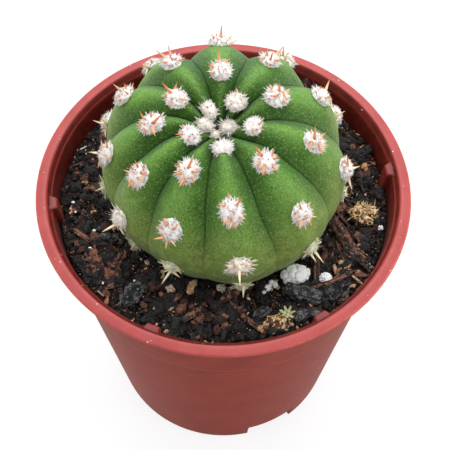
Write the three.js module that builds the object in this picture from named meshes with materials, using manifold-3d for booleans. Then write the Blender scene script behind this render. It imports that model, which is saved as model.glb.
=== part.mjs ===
// A globular cactus in a round nursery pot. Millimetres, +Z up.
// The origin is the centre of the foot ring, on the surface that the pot stands on,
// and the plant is seen from the front when looking along +Y.
import * as THREE from "three";
import { mergeVertices } from "three/addons/utils/BufferGeometryUtils.js";
import Module from "manifold-3d";

const wasm = await Module();
wasm.setup();

const DEG = Math.PI / 180;
const UP = new THREE.Vector3(0, 0, 1);

// Clearance between neighbours that touch on the real object.
const SEAT_GAP = 0.3;

// --- Pot -------------------------------------------------------------------
const POT_HEIGHT = 98.7;
const RIM_RADIUS = 52.5;
const RIM_INNER_RADIUS = 49.8;
const RIM_FALL = 0.5; // the flange slopes outwards by this much
const RIM_LIP = 1.0;
const FOOT_RADIUS = 36.5;
const FOOT_WIDTH = 1.8;
const WALL = 0.9;
const WALL_TAPER = 0.1247; // radius gained per millimetre of height
const COLLAR_Z = 73.8; // the faint ring line round the outside
const COLLAR_STEP = 0.25;
const NECK_Z = 96.2; // where the wall turns out into the flange
const NECK_FLARE = 0.7; // how far the outside widens from the neck to under the flange
const THROAT_WIDTH = 1.1; // the rounded inner edge of the flange
const THROAT_DROP = 1.2;
const EDGE_ROUND = 0.3;
const FLOOR_Z = 8.2; // underside of the floor, well above the foot
const FLOOR = 1.2;
const FLOOR_FILLET = 1;
const POT_SEGMENTS = 72;

const NOTCH_AZIMUTHS = [55.6, 175.6, 295.6];
const NOTCH_ANGLE = 24.4;
const NOTCH_HEIGHT = 7;

const DRAIN_HOLES = 6;
const DRAIN_CIRCLE = 23;
const DRAIN_RADIUS = 4;

const LUG_AZIMUTHS = [8, 67, 186, 247, 303];
const LUG_WIDTH = 4.4;
const LUG_REACH = 1.3; // how far a lug stands in from the wall
const LUG_TOP_Z = 97.2;
const LUG_FOOT_Z = 66;
const LUG_FADE = 12; // height over which a lug grows out of the wall
const LUG_SHOULDER = 0.8; // how far its top leans back with the flange

// --- Soil ------------------------------------------------------------------
const SOIL_LEVEL = 89.0; // round the foot of the plant
const SOIL_BANK = 1.9; // how much higher it lies at the wall
const BANK_FROM = 28;
const BANK_TO = 43;
const SWELL_HEIGHT = 0.35; // gentle unevenness, in two sets of waves
const CROSS_SWELL_HEIGHT = 0.3;
const SOCKET_CLEARANCE = 0.5; // between the plant and the soil that was cut coarsely round it
const SOIL_SECTORS = 40;

// --- Cactus body -----------------------------------------------------------
const BODY_CENTRE = new THREE.Vector3(-0.6, 1.1, 106.9);
const BODY_AXIS = new THREE.Vector3(-0.017, -0.08, 1).normalize(); // it leans to the front
const BODY_RISE = 27.0; // half height above the widest level
const BODY_DROP = 27.7; // half height below it
const BODY_FULLNESS = 0.93; // under 1 gives rounder shoulders than an ellipse
const BODY_TWIST = 0.046; // the ribs curl by this share of the angle from the crown
const MEAN_REACH = 33.9;
const CROWN_PIT_DEPTH = 8.5;
const CROWN_PIT_RADIUS = 9.2;
const GROOVE_DEPTH = 3.4; // on the upper half
const GROOVE_DEPTH_LOW = 0.6; // at the soil
const GROOVE_START = 6; // distance from the crown over which the grooves deepen
const GROOVE_FADE_FROM = 52 * DEG;
const GROOVE_FADE_TO = 112 * DEG;

// Each rib: its azimuth, how far its crest stands from the body's axis, and the angles
// from the crown of its first areole and of each step to the next, in degrees.
const RIBS = [
  { azimuth: 277.5, reach: 33.7, firstAreole: 12.8, areoleStep: 32.4 },
  { azimuth: 313, reach: 34.0, firstAreole: 28.6, areoleStep: 32.5 },
  { azimuth: 349.5, reach: 34.3, firstAreole: 13.7, areoleStep: 30.3 },
  { azimuth: 24.5, reach: 34.5, firstAreole: 25.8, areoleStep: 30.6 },
  { azimuth: 57.5, reach: 35.1, firstAreole: 11, areoleStep: 30.7 },
  { azimuth: 90.5, reach: 35.4, firstAreole: 22.4, areoleStep: 32.9 },
  { azimuth: 124, reach: 34.5, firstAreole: 8, areoleStep: 33 },
  { azimuth: 154.5, reach: 34.1, firstAreole: 20, areoleStep: 34.6 },
  { azimuth: 185, reach: 32.6, firstAreole: 30.3, areoleStep: 35 },
  { azimuth: 213.5, reach: 32.2, firstAreole: 14.5, areoleStep: 33.4 },
  { azimuth: 244, reach: 31.9, firstAreole: 30.4, areoleStep: 32.5 },
];
const LAST_AREOLE = 115; // no areole sits lower than this angle from the crown
const OLD_AREOLE = 93; // from here down they have lost their white wool

// --- Materials -------------------------------------------------------------
function matt(colour, roughness) {
  return new THREE.MeshStandardMaterial({ color: colour, roughness, metalness: 0 });
}

const MATERIALS = {
  pot: matt(0x8c3b30, 0.45),
  soil: matt(0x2a1c17, 0.95),
  skin: matt(0x4c7d35, 0.55),
  wool: matt(0xf1ebe4, 0.95),
  oldWool: matt(0xcfc596, 0.9),
  perlite: matt(0xe9e7e1, 0.9),
  bark: matt(0x4a2f24, 0.9),
  charcoal: matt(0x3a3a3d, 0.85),
  straw: matt(0xb08a55, 0.9),
  moss: matt(0xa37f4b, 0.95),
  pebble: matt(0x6d6a62, 0.7),
};

const cactus = new THREE.Group();

function addMesh(name, geometry, material) {
  const mesh = new THREE.Mesh(geometry, material);
  mesh.name = name;
  cactus.add(mesh);
  return mesh;
}

// --- Solids and booleans ---------------------------------------------------
// The same surface with one vertex where several meet, so that its faces share corners.
function welded(geometry) {
  const bare = geometry.clone();
  bare.deleteAttribute("normal");
  bare.deleteAttribute("uv");
  return mergeVertices(bare, 1e-4);
}

function solid(geometry) {
  const merged = welded(geometry);
  const count = merged.getAttribute("position").count;
  const index = merged.index ? merged.index.array : [...Array(count).keys()];
  return new wasm.Manifold(
    new wasm.Mesh({
      numProp: 3,
      vertProperties: Float32Array.from(merged.getAttribute("position").array),
      triVerts: Uint32Array.from(index),
    }),
  );
}

function geometryOf(body) {
  const { vertProperties, triVerts } = body.getMesh();
  const geometry = new THREE.BufferGeometry();
  geometry.setAttribute("position", new THREE.BufferAttribute(vertProperties, 3));
  geometry.setIndex(new THREE.BufferAttribute(triVerts, 1));
  geometry.computeVertexNormals();
  return geometry;
}

function revolve(profile, segments) {
  const points = profile.map(([radius, height]) => new THREE.Vector2(radius, height));
  return new THREE.LatheGeometry(points, segments).rotateX(90 * DEG);
}

function polar(radius, azimuthDeg, z = 0) {
  const angle = azimuthDeg * DEG;
  return new THREE.Vector3(radius * Math.cos(angle), radius * Math.sin(angle), z);
}

// A closed skin over a stack of rings that all have the same number of points. The rings
// run upwards and each goes counter-clockwise seen from above; the ends close on a point.
function stackOfRings(rings, bottom, top) {
  const around = rings[0].length;
  const points = [bottom, ...rings.flat(), top];
  const last = points.length - 1;
  const faces = [];
  for (let j = 0; j < around; j += 1) {
    const next = (j + 1) % around;
    faces.push(0, 1 + next, 1 + j);
    for (let i = 0; i + 1 < rings.length; i += 1) {
      const low = 1 + i * around;
      const high = low + around;
      faces.push(low + j, low + next, high + next);
      faces.push(low + j, high + next, high + j);
    }
    faces.push(last - around + j, last - around + next, last);
  }
  const geometry = new THREE.BufferGeometry().setFromPoints(points);
  geometry.setIndex(faces);
  geometry.computeVertexNormals();
  return geometry;
}

// --- Pot -------------------------------------------------------------------
function wallOutside(z) {
  return FOOT_RADIUS + WALL_TAPER * z + (z > COLLAR_Z ? COLLAR_STEP : 0);
}

function wallInside(z) {
  return wallOutside(z) - WALL;
}

function potProfile() {
  const floorTop = FLOOR_Z + FLOOR;
  const footInside = FOOT_RADIUS - FOOT_WIDTH;
  const justUnder = COLLAR_Z - 0.01;
  const justOver = COLLAR_Z + EDGE_ROUND;
  const flangeUnder = POT_HEIGHT - RIM_FALL - RIM_LIP;
  const outside = [
    [0, FLOOR_Z],
    [footInside + WALL_TAPER * FLOOR_Z, FLOOR_Z],
    [footInside, 0],
    [FOOT_RADIUS - EDGE_ROUND, 0],
    [FOOT_RADIUS, EDGE_ROUND],
    [wallOutside(justUnder), justUnder],
    [wallOutside(justOver), justOver],
    [wallOutside(NECK_Z), NECK_Z],
    [wallOutside(NECK_Z) + NECK_FLARE, flangeUnder + RIM_FALL - EDGE_ROUND],
    [RIM_RADIUS - EDGE_ROUND / 2, flangeUnder],
    [RIM_RADIUS, POT_HEIGHT - RIM_FALL - EDGE_ROUND / 2],
    [RIM_RADIUS - EDGE_ROUND, POT_HEIGHT - RIM_FALL],
  ];
  const inside = [
    [RIM_INNER_RADIUS, POT_HEIGHT],
    [RIM_INNER_RADIUS - THROAT_WIDTH, POT_HEIGHT - THROAT_DROP],
    [wallInside(NECK_Z - 1), NECK_Z - 1],
    [wallInside(floorTop + FLOOR_FILLET), floorTop + FLOOR_FILLET],
    [wallInside(floorTop) - FLOOR_FILLET, floorTop],
    [0, floorTop],
  ];
  return [...outside, ...inside];
}

function drainNotch(azimuth) {
  const half = (NOTCH_ANGLE / 2) * DEG;
  const sector = new THREE.Shape();
  sector.absarc(0, 0, FOOT_RADIUS + 2, -half, half, false);
  sector.absarc(0, 0, FOOT_RADIUS - FOOT_WIDTH - 1, half, -half, true);
  const cutter = new THREE.ExtrudeGeometry(sector, {
    depth: NOTCH_HEIGHT + 1,
    bevelEnabled: false,
    curveSegments: 6,
  });
  return solid(cutter.translate(0, 0, -1).rotateZ(azimuth * DEG));
}

function drainHole(index) {
  const hole = new THREE.CylinderGeometry(DRAIN_RADIUS, DRAIN_RADIUS, FLOOR + 2, 16);
  const place = polar(DRAIN_CIRCLE, (360 / DRAIN_HOLES) * index, FLOOR_Z + FLOOR / 2);
  return solid(hole.rotateX(90 * DEG).translate(place.x, place.y, place.z));
}

// A stacking lug inside the wall: a narrow pad with a shouldered top that runs down the
// wall and fades into it. Its back is buried in the wall's thickness.
function stackingLug(azimuth, grow = 0) {
  const buried = (z) => wallInside(z) + WALL / 2;
  const face = (z) => wallInside(z) - LUG_REACH - grow;
  const side = new THREE.Shape();
  side.moveTo(buried(LUG_FOOT_Z - grow), LUG_FOOT_Z - grow);
  side.lineTo(buried(NECK_Z), NECK_Z);
  side.lineTo(buried(NECK_Z) + LUG_SHOULDER, LUG_TOP_Z + grow);
  side.lineTo(face(NECK_Z) + LUG_SHOULDER, LUG_TOP_Z + grow);
  side.lineTo(face(NECK_Z), NECK_Z);
  side.lineTo(face(LUG_FOOT_Z + LUG_FADE), LUG_FOOT_Z + LUG_FADE);
  const width = LUG_WIDTH + 2 * grow;
  const plate = new THREE.ExtrudeGeometry(side, { depth: width, bevelEnabled: false });
  plate.translate(0, 0, -width / 2).rotateX(90 * DEG).rotateZ(azimuth * DEG);
  return solid(plate);
}

function makePot() {
  let pot = solid(revolve(potProfile(), POT_SEGMENTS));
  for (const azimuth of LUG_AZIMUTHS) {
    pot = pot.add(stackingLug(azimuth));
  }
  for (const azimuth of NOTCH_AZIMUTHS) {
    pot = pot.subtract(drainNotch(azimuth));
  }
  for (let index = 0; index < DRAIN_HOLES; index += 1) {
    pot = pot.subtract(drainHole(index));
  }
  addMesh("pot", geometryOf(pot), MATERIALS.pot);
}

// --- Cactus body -----------------------------------------------------------
const BODY_TURN = new THREE.Quaternion().setFromUnitVectors(UP, BODY_AXIS);

// Where an azimuth lies between its two ribs: `share` runs from 0 on one crest to 1 on the
// next, and `reach` is the body's radius there without the groove.
function betweenRibs(azimuthDeg) {
  const start = RIBS[0].azimuth;
  const turned = (angle) => (((angle - start) % 360) + 360) % 360;
  const at = turned(azimuthDeg);
  let k = RIBS.length - 1;
  while (turned(RIBS[k].azimuth) > at) {
    k -= 1;
  }
  const next = RIBS[(k + 1) % RIBS.length];
  const from = turned(RIBS[k].azimuth);
  const to = k + 1 < RIBS.length ? turned(next.azimuth) : 360;
  const share = (at - from) / (to - from);
  const reach = THREE.MathUtils.lerp(RIBS[k].reach, next.reach, share);
  return { share, reach };
}

// The outline without ribs: distance from the axis and height, at an angle from the crown.
function bodyOutline(angle, reach) {
  const sweep = Math.sin(angle) ** BODY_FULLNESS;
  const upper = angle < Math.PI / 2;
  const half = upper ? BODY_RISE : BODY_DROP;
  const pit = upper ? Math.exp(-((MEAN_REACH * sweep / CROWN_PIT_RADIUS) ** 2)) : 0;
  return new THREE.Vector2(reach * sweep, half * Math.cos(angle) - CROWN_PIT_DEPTH * pit);
}

function grooveDepth(angle, radius) {
  const fade = THREE.MathUtils.smoothstep(angle, GROOVE_FADE_FROM, GROOVE_FADE_TO);
  const full = THREE.MathUtils.lerp(GROOVE_DEPTH, GROOVE_DEPTH_LOW, fade);
  return full * (1 - Math.exp(-radius / GROOVE_START));
}

function skinFrame(angle, azimuthDeg, share, reach, grow) {
  const step = 1e-3;
  const here = bodyOutline(angle, reach);
  const along = bodyOutline(angle + step, reach).sub(bodyOutline(angle - step, reach));
  const normal = new THREE.Vector2(-along.y, along.x).normalize();
  const groove = grooveDepth(angle, here.x) * (1 - Math.abs(Math.cos(Math.PI * share)));
  const lift = grow - groove;
  const turn = azimuthDeg * DEG + BODY_TWIST * (angle - 1);
  const spoke = new THREE.Vector3(Math.cos(turn), Math.sin(turn), 0);
  const point = spoke.clone().multiplyScalar(here.x + normal.x * lift);
  point.z = here.y + normal.y * lift;
  const outward = spoke.multiplyScalar(normal.x);
  outward.z = normal.y;
  return {
    point: point.applyQuaternion(BODY_TURN).add(BODY_CENTRE),
    normal: outward.applyQuaternion(BODY_TURN),
  };
}

// A point of the skin, `angle` radians from the crown.
function skinPoint(angle, azimuthDeg, grow = 0) {
  const { share, reach } = betweenRibs(azimuthDeg);
  return skinFrame(angle, azimuthDeg, share, reach, grow).point;
}

function bodyGeometry(columnsPerRib, rows, grow = 0) {
  const columns = [];
  RIBS.forEach((rib, k) => {
    const next = RIBS[(k + 1) % RIBS.length];
    const gap = (((next.azimuth - rib.azimuth) % 360) + 360) % 360;
    for (let j = 0; j < columnsPerRib; j += 1) {
      columns.push(rib.azimuth + (gap * j) / columnsPerRib);
    }
  });
  const rings = [];
  for (let i = rows - 1; i >= 1; i -= 1) {
    const angle = Math.PI * (i / rows) ** 1.25; // closer together at the crown
    rings.push(columns.map((azimuth) => skinPoint(angle, azimuth, grow)));
  }
  const poleGap = 2e-3;
  const bottom = skinPoint(Math.PI - poleGap, 0, grow);
  const top = skinPoint(poleGap, 0, grow);
  return stackOfRings(rings, bottom, top);
}

// --- Areoles ---------------------------------------------------------------
const AREOLE_RADIUS = 3.3;
const AREOLE_HEIGHT = 2.1;
const YOUNGEST_SHARE = 0.62; // size of one at the crown against a full-grown one
const GROWN_AT = 27; // angle from the crown at which they are full-grown
const OLD_SHARE = 0.82; // size of an old one that has lost its wool
const SPINE_LENGTH = 3.2;
const SPINE_RADIUS = 0.4;
const SPINE_SPREAD = 58 * DEG;
const OLD_SPINE_SPREAD = 34 * DEG; // low ones hold theirs clear of the soil
const CENTRAL_SPINE_LEAN = 8 * DEG;
const SPINE_CIRCLE = 0.35; // where the spines stand, as a share of the cushion's radius

// A cushion of wool with spines that stand out of it, on its own +Z.
function areoleGeometry(radius, height, spines, spineLength, turn, spread) {
  const dome = [
    [0, 0],
    [0.8 * radius, 0],
    [radius, 0.4 * height],
    [0.7 * radius, 0.85 * height],
    [0, height],
  ];
  let tuft = solid(revolve(dome, 8));
  for (let i = 0; i <= spines; i += 1) {
    const central = i === spines;
    const lean = central ? CENTRAL_SPINE_LEAN : spread;
    const length = central ? 0.8 * spineLength : spineLength;
    const spin = turn + (2 * Math.PI * i) / spines;
    const out = new THREE.Vector3(Math.cos(spin), Math.sin(spin), 0);
    const along = out.clone().multiplyScalar(Math.sin(lean));
    along.z = Math.cos(lean);
    const buried = 0.25 * height;
    const whole = length + height - buried;
    const spine = new THREE.ConeGeometry(SPINE_RADIUS, whole, 3).rotateX(90 * DEG);
    spine.translate(0, 0, whole / 2);
    spine.applyQuaternion(new THREE.Quaternion().setFromUnitVectors(UP, along));
    const root = out.multiplyScalar(central ? 0 : SPINE_CIRCLE * radius);
    spine.translate(root.x, root.y, buried);
    tuft = tuft.add(solid(spine));
  }
  return geometryOf(tuft);
}

function placeAreole(name, azimuthDeg, angle, geometry, material, gap = SEAT_GAP) {
  const { reach } = betweenRibs(azimuthDeg);
  const seat = skinFrame(angle, azimuthDeg, 0, reach, gap);
  const mesh = addMesh(name, geometry, material);
  mesh.position.copy(seat.point);
  mesh.quaternion.setFromUnitVectors(UP, seat.normal);
}

function ribName(k) {
  return String(k + 1).padStart(2, "0");
}

function makeAreoles() {
  RIBS.forEach((rib, k) => {
    let count = 0;
    for (let at = rib.firstAreole; at <= LAST_AREOLE; at += rib.areoleStep) {
      count += 1;
      const grown = Math.min(1, YOUNGEST_SHARE + ((1 - YOUNGEST_SHARE) * at) / GROWN_AT);
      const old = at > OLD_AREOLE;
      const radius = AREOLE_RADIUS * grown * (old ? OLD_SHARE : 1);
      const height = AREOLE_HEIGHT * grown * (old ? OLD_SHARE : 1);
      const length = SPINE_LENGTH * grown;
      const turn = 0.7 * k + 1.9 * count;
      const spines = grown < 1 ? 3 : 4;
      const spread = old ? OLD_SPINE_SPREAD : SPINE_SPREAD;
      const geometry = areoleGeometry(radius, height, spines, length, turn, spread);
      const material = old ? MATERIALS.oldWool : MATERIALS.wool;
      placeAreole(`areole_${ribName(k)}_${count}`, rib.azimuth, at * DEG, geometry, material);
    }
  });
}

// The two youngest tufts, in the pit of the crown.
function makeCrownTufts() {
  const tuft = () => areoleGeometry(1.7, 1.3, 3, 1.2, 0.4, SPINE_SPREAD);
  const clear = 0.45; // the pit curves up round them, so they sit a little higher
  placeAreole("crown_tuft_right", 10, 3.2 * DEG, tuft(), MATERIALS.wool, clear);
  placeAreole("crown_tuft_left", 176, 6.0 * DEG, tuft(), MATERIALS.wool, clear);
}

// --- Soil ------------------------------------------------------------------
function terrain(x, y) {
  const swell = SWELL_HEIGHT * Math.sin(0.23 * x + 1.1) * Math.cos(0.2 * y - 0.4);
  const cross = CROSS_SWELL_HEIGHT * Math.sin(0.17 * x - 0.26 * y);
  const bank = SOIL_BANK * THREE.MathUtils.smoothstep(Math.hypot(x, y), BANK_FROM, BANK_TO);
  return SOIL_LEVEL + bank + swell + cross;
}

function soilRing(radius, z) {
  const ring = [];
  for (let j = 0; j < SOIL_SECTORS; j += 1) {
    const point = polar(radius, (360 / SOIL_SECTORS) * j);
    point.z = z ?? terrain(point.x, point.y);
    ring.push(point);
  }
  return ring;
}

function makeSoil() {
  const clear = (z) => wallInside(z) - SEAT_GAP - 0.1;
  const base = FLOOR_Z + FLOOR + SEAT_GAP;
  const side = [base + 1.2, COLLAR_Z - 0.5, COLLAR_Z + 0.5, SOIL_LEVEL - 2];
  const rings = [soilRing(clear(base) - 1.2, base)];
  for (const z of side) {
    rings.push(soilRing(clear(z), z));
  }
  for (const radius of [clear(SOIL_LEVEL), 42, 37, 32, 27, 18, 9]) {
    rings.push(soilRing(radius));
  }
  const bottom = new THREE.Vector3(0, 0, base);
  const top = new THREE.Vector3(0, 0, terrain(0, 0));
  let soil = solid(stackOfRings(rings, bottom, top));
  soil = soil.subtract(solid(bodyGeometry(3, 16, SOCKET_CLEARANCE)));
  for (const azimuth of LUG_AZIMUTHS) {
    soil = soil.subtract(stackingLug(azimuth, SEAT_GAP));
  }
  addMesh("soil", geometryOf(soil), MATERIALS.soil);
}

// --- What lies on the soil -------------------------------------------------
// Lifts every vertex that would touch the soil to just above it.
function settle(geometry) {
  const points = geometry.getAttribute("position");
  for (let i = 0; i < points.count; i += 1) {
    const floor = terrain(points.getX(i), points.getY(i)) + SEAT_GAP + 0.05;
    points.setZ(i, Math.max(points.getZ(i), floor));
  }
  return geometry;
}

// A rough lump of the given half sizes, whose bottom third is flattened on the soil.
function lump(x, y, halfLength, halfWidth, height, heading, roughness = 0.16) {
  const stone = welded(new THREE.IcosahedronGeometry(1, 1));
  const points = stone.getAttribute("position");
  for (let i = 0; i < points.count; i += 1) {
    const bump = 1 + roughness * Math.sin(7.3 * i + 3.1 * x + 1.7 * y);
    points.setXYZ(i, points.getX(i) * bump, points.getY(i) * bump, points.getZ(i) * bump);
  }
  stone.scale(halfLength, halfWidth, height * 0.6).rotateZ(heading * DEG);
  stone.translate(x, y, terrain(x, y) + SEAT_GAP + height * 0.4);
  return settle(stone);
}

// A flat splinter of bark whose underside follows the soil and whose ends are ragged.
function splinter(x, y, length, width, height, heading) {
  const shape = welded(new THREE.BoxGeometry(length, width, height, 5, 2, 1));
  const points = shape.getAttribute("position");
  for (let i = 0; i < points.count; i += 1) {
    const along = points.getX(i) / length;
    const ragged = 1 + 0.12 * Math.sin(5.1 * i + x);
    const taper = 1 - 0.5 * (2 * Math.abs(along)) ** 3;
    points.setX(i, points.getX(i) * ragged);
    points.setY(i, points.getY(i) * taper * ragged);
  }
  shape.rotateZ(heading * DEG).translate(x, y, 0);
  for (let i = 0; i < points.count; i += 1) {
    const ground = terrain(points.getX(i), points.getY(i)) + SEAT_GAP + 0.05;
    const upper = points.getZ(i) > 0;
    const uneven = 0.85 + 0.15 * Math.sin(3.7 * i);
    points.setZ(i, ground + (upper ? height * uneven : 0));
  }
  return shape;
}

// A round stick along the soil through a few places.
function twig(places, radius) {
  const route = places.map(
    ([x, y, lift = 0]) =>
      new THREE.Vector3(x, y, terrain(x, y) + SEAT_GAP + 0.15 + radius + lift),
  );
  const section = new THREE.Shape();
  for (let i = 0; i < 6; i += 1) {
    const corner = polar(radius, 60 * i);
    if (i === 0) {
      section.moveTo(corner.x, corner.y);
    } else {
      section.lineTo(corner.x, corner.y);
    }
  }
  return new THREE.ExtrudeGeometry(section, {
    steps: 6,
    bevelEnabled: false,
    extrudePath: new THREE.CatmullRomCurve3(route),
  });
}

const LITTER = [
  ["perlite_large", lump(20.2, -26.8, 3.8, 2.7, 4.2, 10), MATERIALS.perlite],
  ["perlite_small", lump(28.2, -25.4, 1.5, 1.4, 2.4, 50), MATERIALS.perlite],
  ["perlite_cluster", lump(12.4, -29.8, 3.2, 1.7, 2.4, 25), MATERIALS.perlite],
  ["perlite_grain", lump(44.2, -9.4, 0.9, 0.8, 1.4, 0), MATERIALS.perlite],
  ["charred_chip", splinter(21.8, -33.4, 8.6, 4.6, 2.2, -6), MATERIALS.charcoal],
  ["bark_strip", splinter(34.9, -15.6, 13.0, 2.7, 2.4, -57), MATERIALS.bark],
  ["bark_sliver", splinter(34.0, -20.0, 9.0, 1.2, 1.6, -57), MATERIALS.bark],
  ["bark_left", splinter(-36.0, -20.6, 6.0, 4.2, 2.2, 55), MATERIALS.bark],
  ["bark_standing", lump(24.4, 37.6, 2.4, 1.0, 6.6, 147), MATERIALS.bark],
  ["wood_chip", splinter(-8.8, -30.8, 4.4, 2.4, 1.6, 80), MATERIALS.straw],
  ["twig_right", twig([[26.2, -29.6], [31, -27.2], [36.6, -24.4]], 0.7), MATERIALS.bark],
  ["twig_upright", twig([[25.2, -20.6], [25.4, -24.6], [25.8, -27.6]], 0.6), MATERIALS.bark],
  ["twig_front", twig([[2.4, -33.6], [5.4, -37.8], [9.0, -41.0]], 0.5), MATERIALS.bark],
  ["moss_clump", lump(39.6, -5.4, 4.0, 3.6, 3.0, 30), MATERIALS.moss],
  ["leaf_litter", lump(14.6, -40.0, 4.2, 3.0, 2.6, 15), MATERIALS.straw],
  ["pebble_left", lump(-33.2, -13.0, 2.5, 1.5, 1.8, 5), MATERIALS.pebble],
];

makePot();
makeSoil();
addMesh("cactus_body", bodyGeometry(6, 20), MATERIALS.skin);
makeAreoles();
makeCrownTufts();
for (const [name, geometry, material] of LITTER) {
  addMesh(name, geometry, material);
}

export default cactus;
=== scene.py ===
"""A ribbed globe cactus in a round nursery pot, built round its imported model.

Shapes are worked out in millimetres in the model's frame: +Z up, the front towards -Y.
They are turned into metres when an object is made.
"""

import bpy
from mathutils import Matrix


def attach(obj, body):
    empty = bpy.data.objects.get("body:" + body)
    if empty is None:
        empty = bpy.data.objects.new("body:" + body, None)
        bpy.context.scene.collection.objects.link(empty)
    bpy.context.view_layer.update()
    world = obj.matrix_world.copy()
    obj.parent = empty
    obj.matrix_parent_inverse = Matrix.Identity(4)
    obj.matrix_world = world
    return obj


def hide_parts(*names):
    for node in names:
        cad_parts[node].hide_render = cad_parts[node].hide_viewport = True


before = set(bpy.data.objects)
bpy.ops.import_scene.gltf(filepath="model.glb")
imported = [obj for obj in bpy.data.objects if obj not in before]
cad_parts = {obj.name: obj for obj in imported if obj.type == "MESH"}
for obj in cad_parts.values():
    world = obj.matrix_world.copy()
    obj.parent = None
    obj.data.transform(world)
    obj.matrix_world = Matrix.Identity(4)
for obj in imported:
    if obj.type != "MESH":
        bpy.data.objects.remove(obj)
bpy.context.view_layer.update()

import math

import bmesh
import bpy
import numpy as np
from mathutils import Matrix, Vector, noise
from mathutils.bvhtree import BVHTree

MM = 0.001
TAU = 2 * math.pi
UP = Vector((0, 0, 1))
rng = np.random.default_rng(7)

# --- Driving dimensions, in millimetres -------------------------------------
POT_HEIGHT = 98.7
RIM_RADIUS = 52.5
RIM_INNER_RADIUS = 49.8
RIM_FALL = 0.5
RIM_LIP = 1.0
FOOT_RADIUS = 36.5
FOOT_WIDTH = 1.8
WALL = 0.9
WALL_TAPER = 0.1247
COLLAR_Z = 73.8
COLLAR_STEP = 0.25
NECK_Z = 96.2
FLOOR_Z = 8.2
FLOOR = 1.2
NOTCH_AZIMUTHS = (55.6, 175.6, 295.6)
NOTCH_ANGLE = 24.4
NOTCH_HEIGHT = 7.0
DRAIN_HOLES = 6
DRAIN_CIRCLE = 23
DRAIN_RADIUS = 4
LUG_AZIMUTHS = (8, 67, 186, 247, 303)
LUG_WIDTH = 4.4
LUG_REACH = 1.3
LUG_FOOT_Z = 66
LUG_FADE = 12
LUG_TOP_Z = 96.6
LUG_FACE_RADIUS = 47.5
FLOOR_RADII = (6, 13.3, 21.4, 29.6)
POT_COLUMNS = 720
SHARP_ANGLE = math.radians(50)

SOIL_LEVEL = 89.0
SOIL_BANK = 1.9
BANK_FROM = 28
BANK_TO = 43
SOIL_GAP = 0.35
UNDER_PLANT_GAP = 0.25
# The ring in which crumbs lie, and its narrower parts at a lug and under the plant.
OPEN_SOIL = (24.0, 47.0)
LUG_CLEAR_RADIUS = 45.4
UNDER_PLANT_RADIUS = 26.5

BODY_CENTRE = np.array([-0.6, 1.1, 106.9])
BODY_AXIS = Vector((-0.017, -0.08, 1)).normalized()
BODY_RISE = 27.0
BODY_DROP = 27.7
BODY_FULLNESS = 0.93
BODY_TWIST = 0.046
MEAN_REACH = 33.9
POLE_REACH = 34.0
COLUMNS_PER_RIB = 32
BODY_ROWS = 226
CROWN_PIT_DEPTH = 8.5
CROWN_PIT_RADIUS = 9.2
GROOVE_DEPTH = 3.4
GROOVE_DEPTH_LOW = 0.6
GROOVE_START = 6
GROOVE_FADE_FROM = math.radians(52)
GROOVE_FADE_TO = math.radians(112)
GROOVE_SWAY = 0.8

# Azimuth, reach, angle of the first areole from the crown, and step to the next.
RIBS = (
    (277.5, 33.7, 12.8, 32.4),
    (313, 34.0, 28.6, 32.5),
    (349.5, 34.3, 13.7, 30.3),
    (24.5, 34.5, 25.8, 30.6),
    (57.5, 35.1, 11, 30.7),
    (90.5, 35.4, 22.4, 32.9),
    (124, 34.5, 8, 33),
    (154.5, 34.1, 20, 34.6),
    (185, 32.6, 30.3, 35),
    (213.5, 32.2, 14.5, 33.4),
    (244, 31.9, 30.4, 32.5),
)
LAST_AREOLE = 115
OLD_AREOLE = 93
GROWN_AT = 27
YOUNGEST_SHARE = 0.62
BUD_LENGTH = 0.6

# Half the width and the height of a full-grown cushion.
YOUNG_CUSHION = (2.95, 2.5)
OLD_CUSHION = (2.1, 1.6)
CROWN_TUFT = np.array([2.1, 2.35, 1.8])

# A cushion's relative width and length and its creaminess; some differ, by rib and count.
USUAL_CUSHION = (0.97, 1.12, 0.1)
CUSHIONS = {
    (1, 1): (1.12, 1.0, 0.0), (3, 1): (1.12, 1.0, 0.25), (5, 1): (1.22, 1.25, 0.45),
    (7, 1): (0.9, 1.4, 0.6), (10, 1): (1.2, 1.0, 0.1), (9, 1): (0.95, 1.22, 0.0),
    (8, 1): (1.05, 1.15, 0.15), (4, 1): (1.1, 1.12, 0.15), (6, 1): (1.05, 1.1, 0.15),
    (1, 2): (1.0, 1.25, 0.0), (11, 2): (1.0, 1.15, 0.0), (1, 3): (1.05, 0.9, 0.7),
    (10, 3): (0.8, 1.1, 0.7), (2, 1): (1.0, 1.0, 0.0),
}

# Camera, fitted to the photograph. PHOTO is the picture's side in pixels.
CAMERA_PLACE = Vector((0.47, -171.6, 357.1))
CAMERA_TURN = (Matrix.Rotation(math.radians(31.531), 3, "X")
               @ Matrix.Rotation(math.radians(0.153), 3, "Z"))
CAMERA_LENS = 88.29
SENSOR = 36
PHOTO = 450

# Half the floor's side and the height of the wall behind it.
FLOOR_REACH = 3000
BACKDROP_HEIGHT = 3200


# --- Meshes ------------------------------------------------------------------
def add_object(name, data, place=(0, 0, 0), turn=(0, 0, 0)):
    """An object in the scene; its place is in metres."""
    made = bpy.data.objects.new(name, data)
    made.location = place
    made.rotation_euler = turn
    bpy.context.scene.collection.objects.link(made)
    return made


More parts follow.
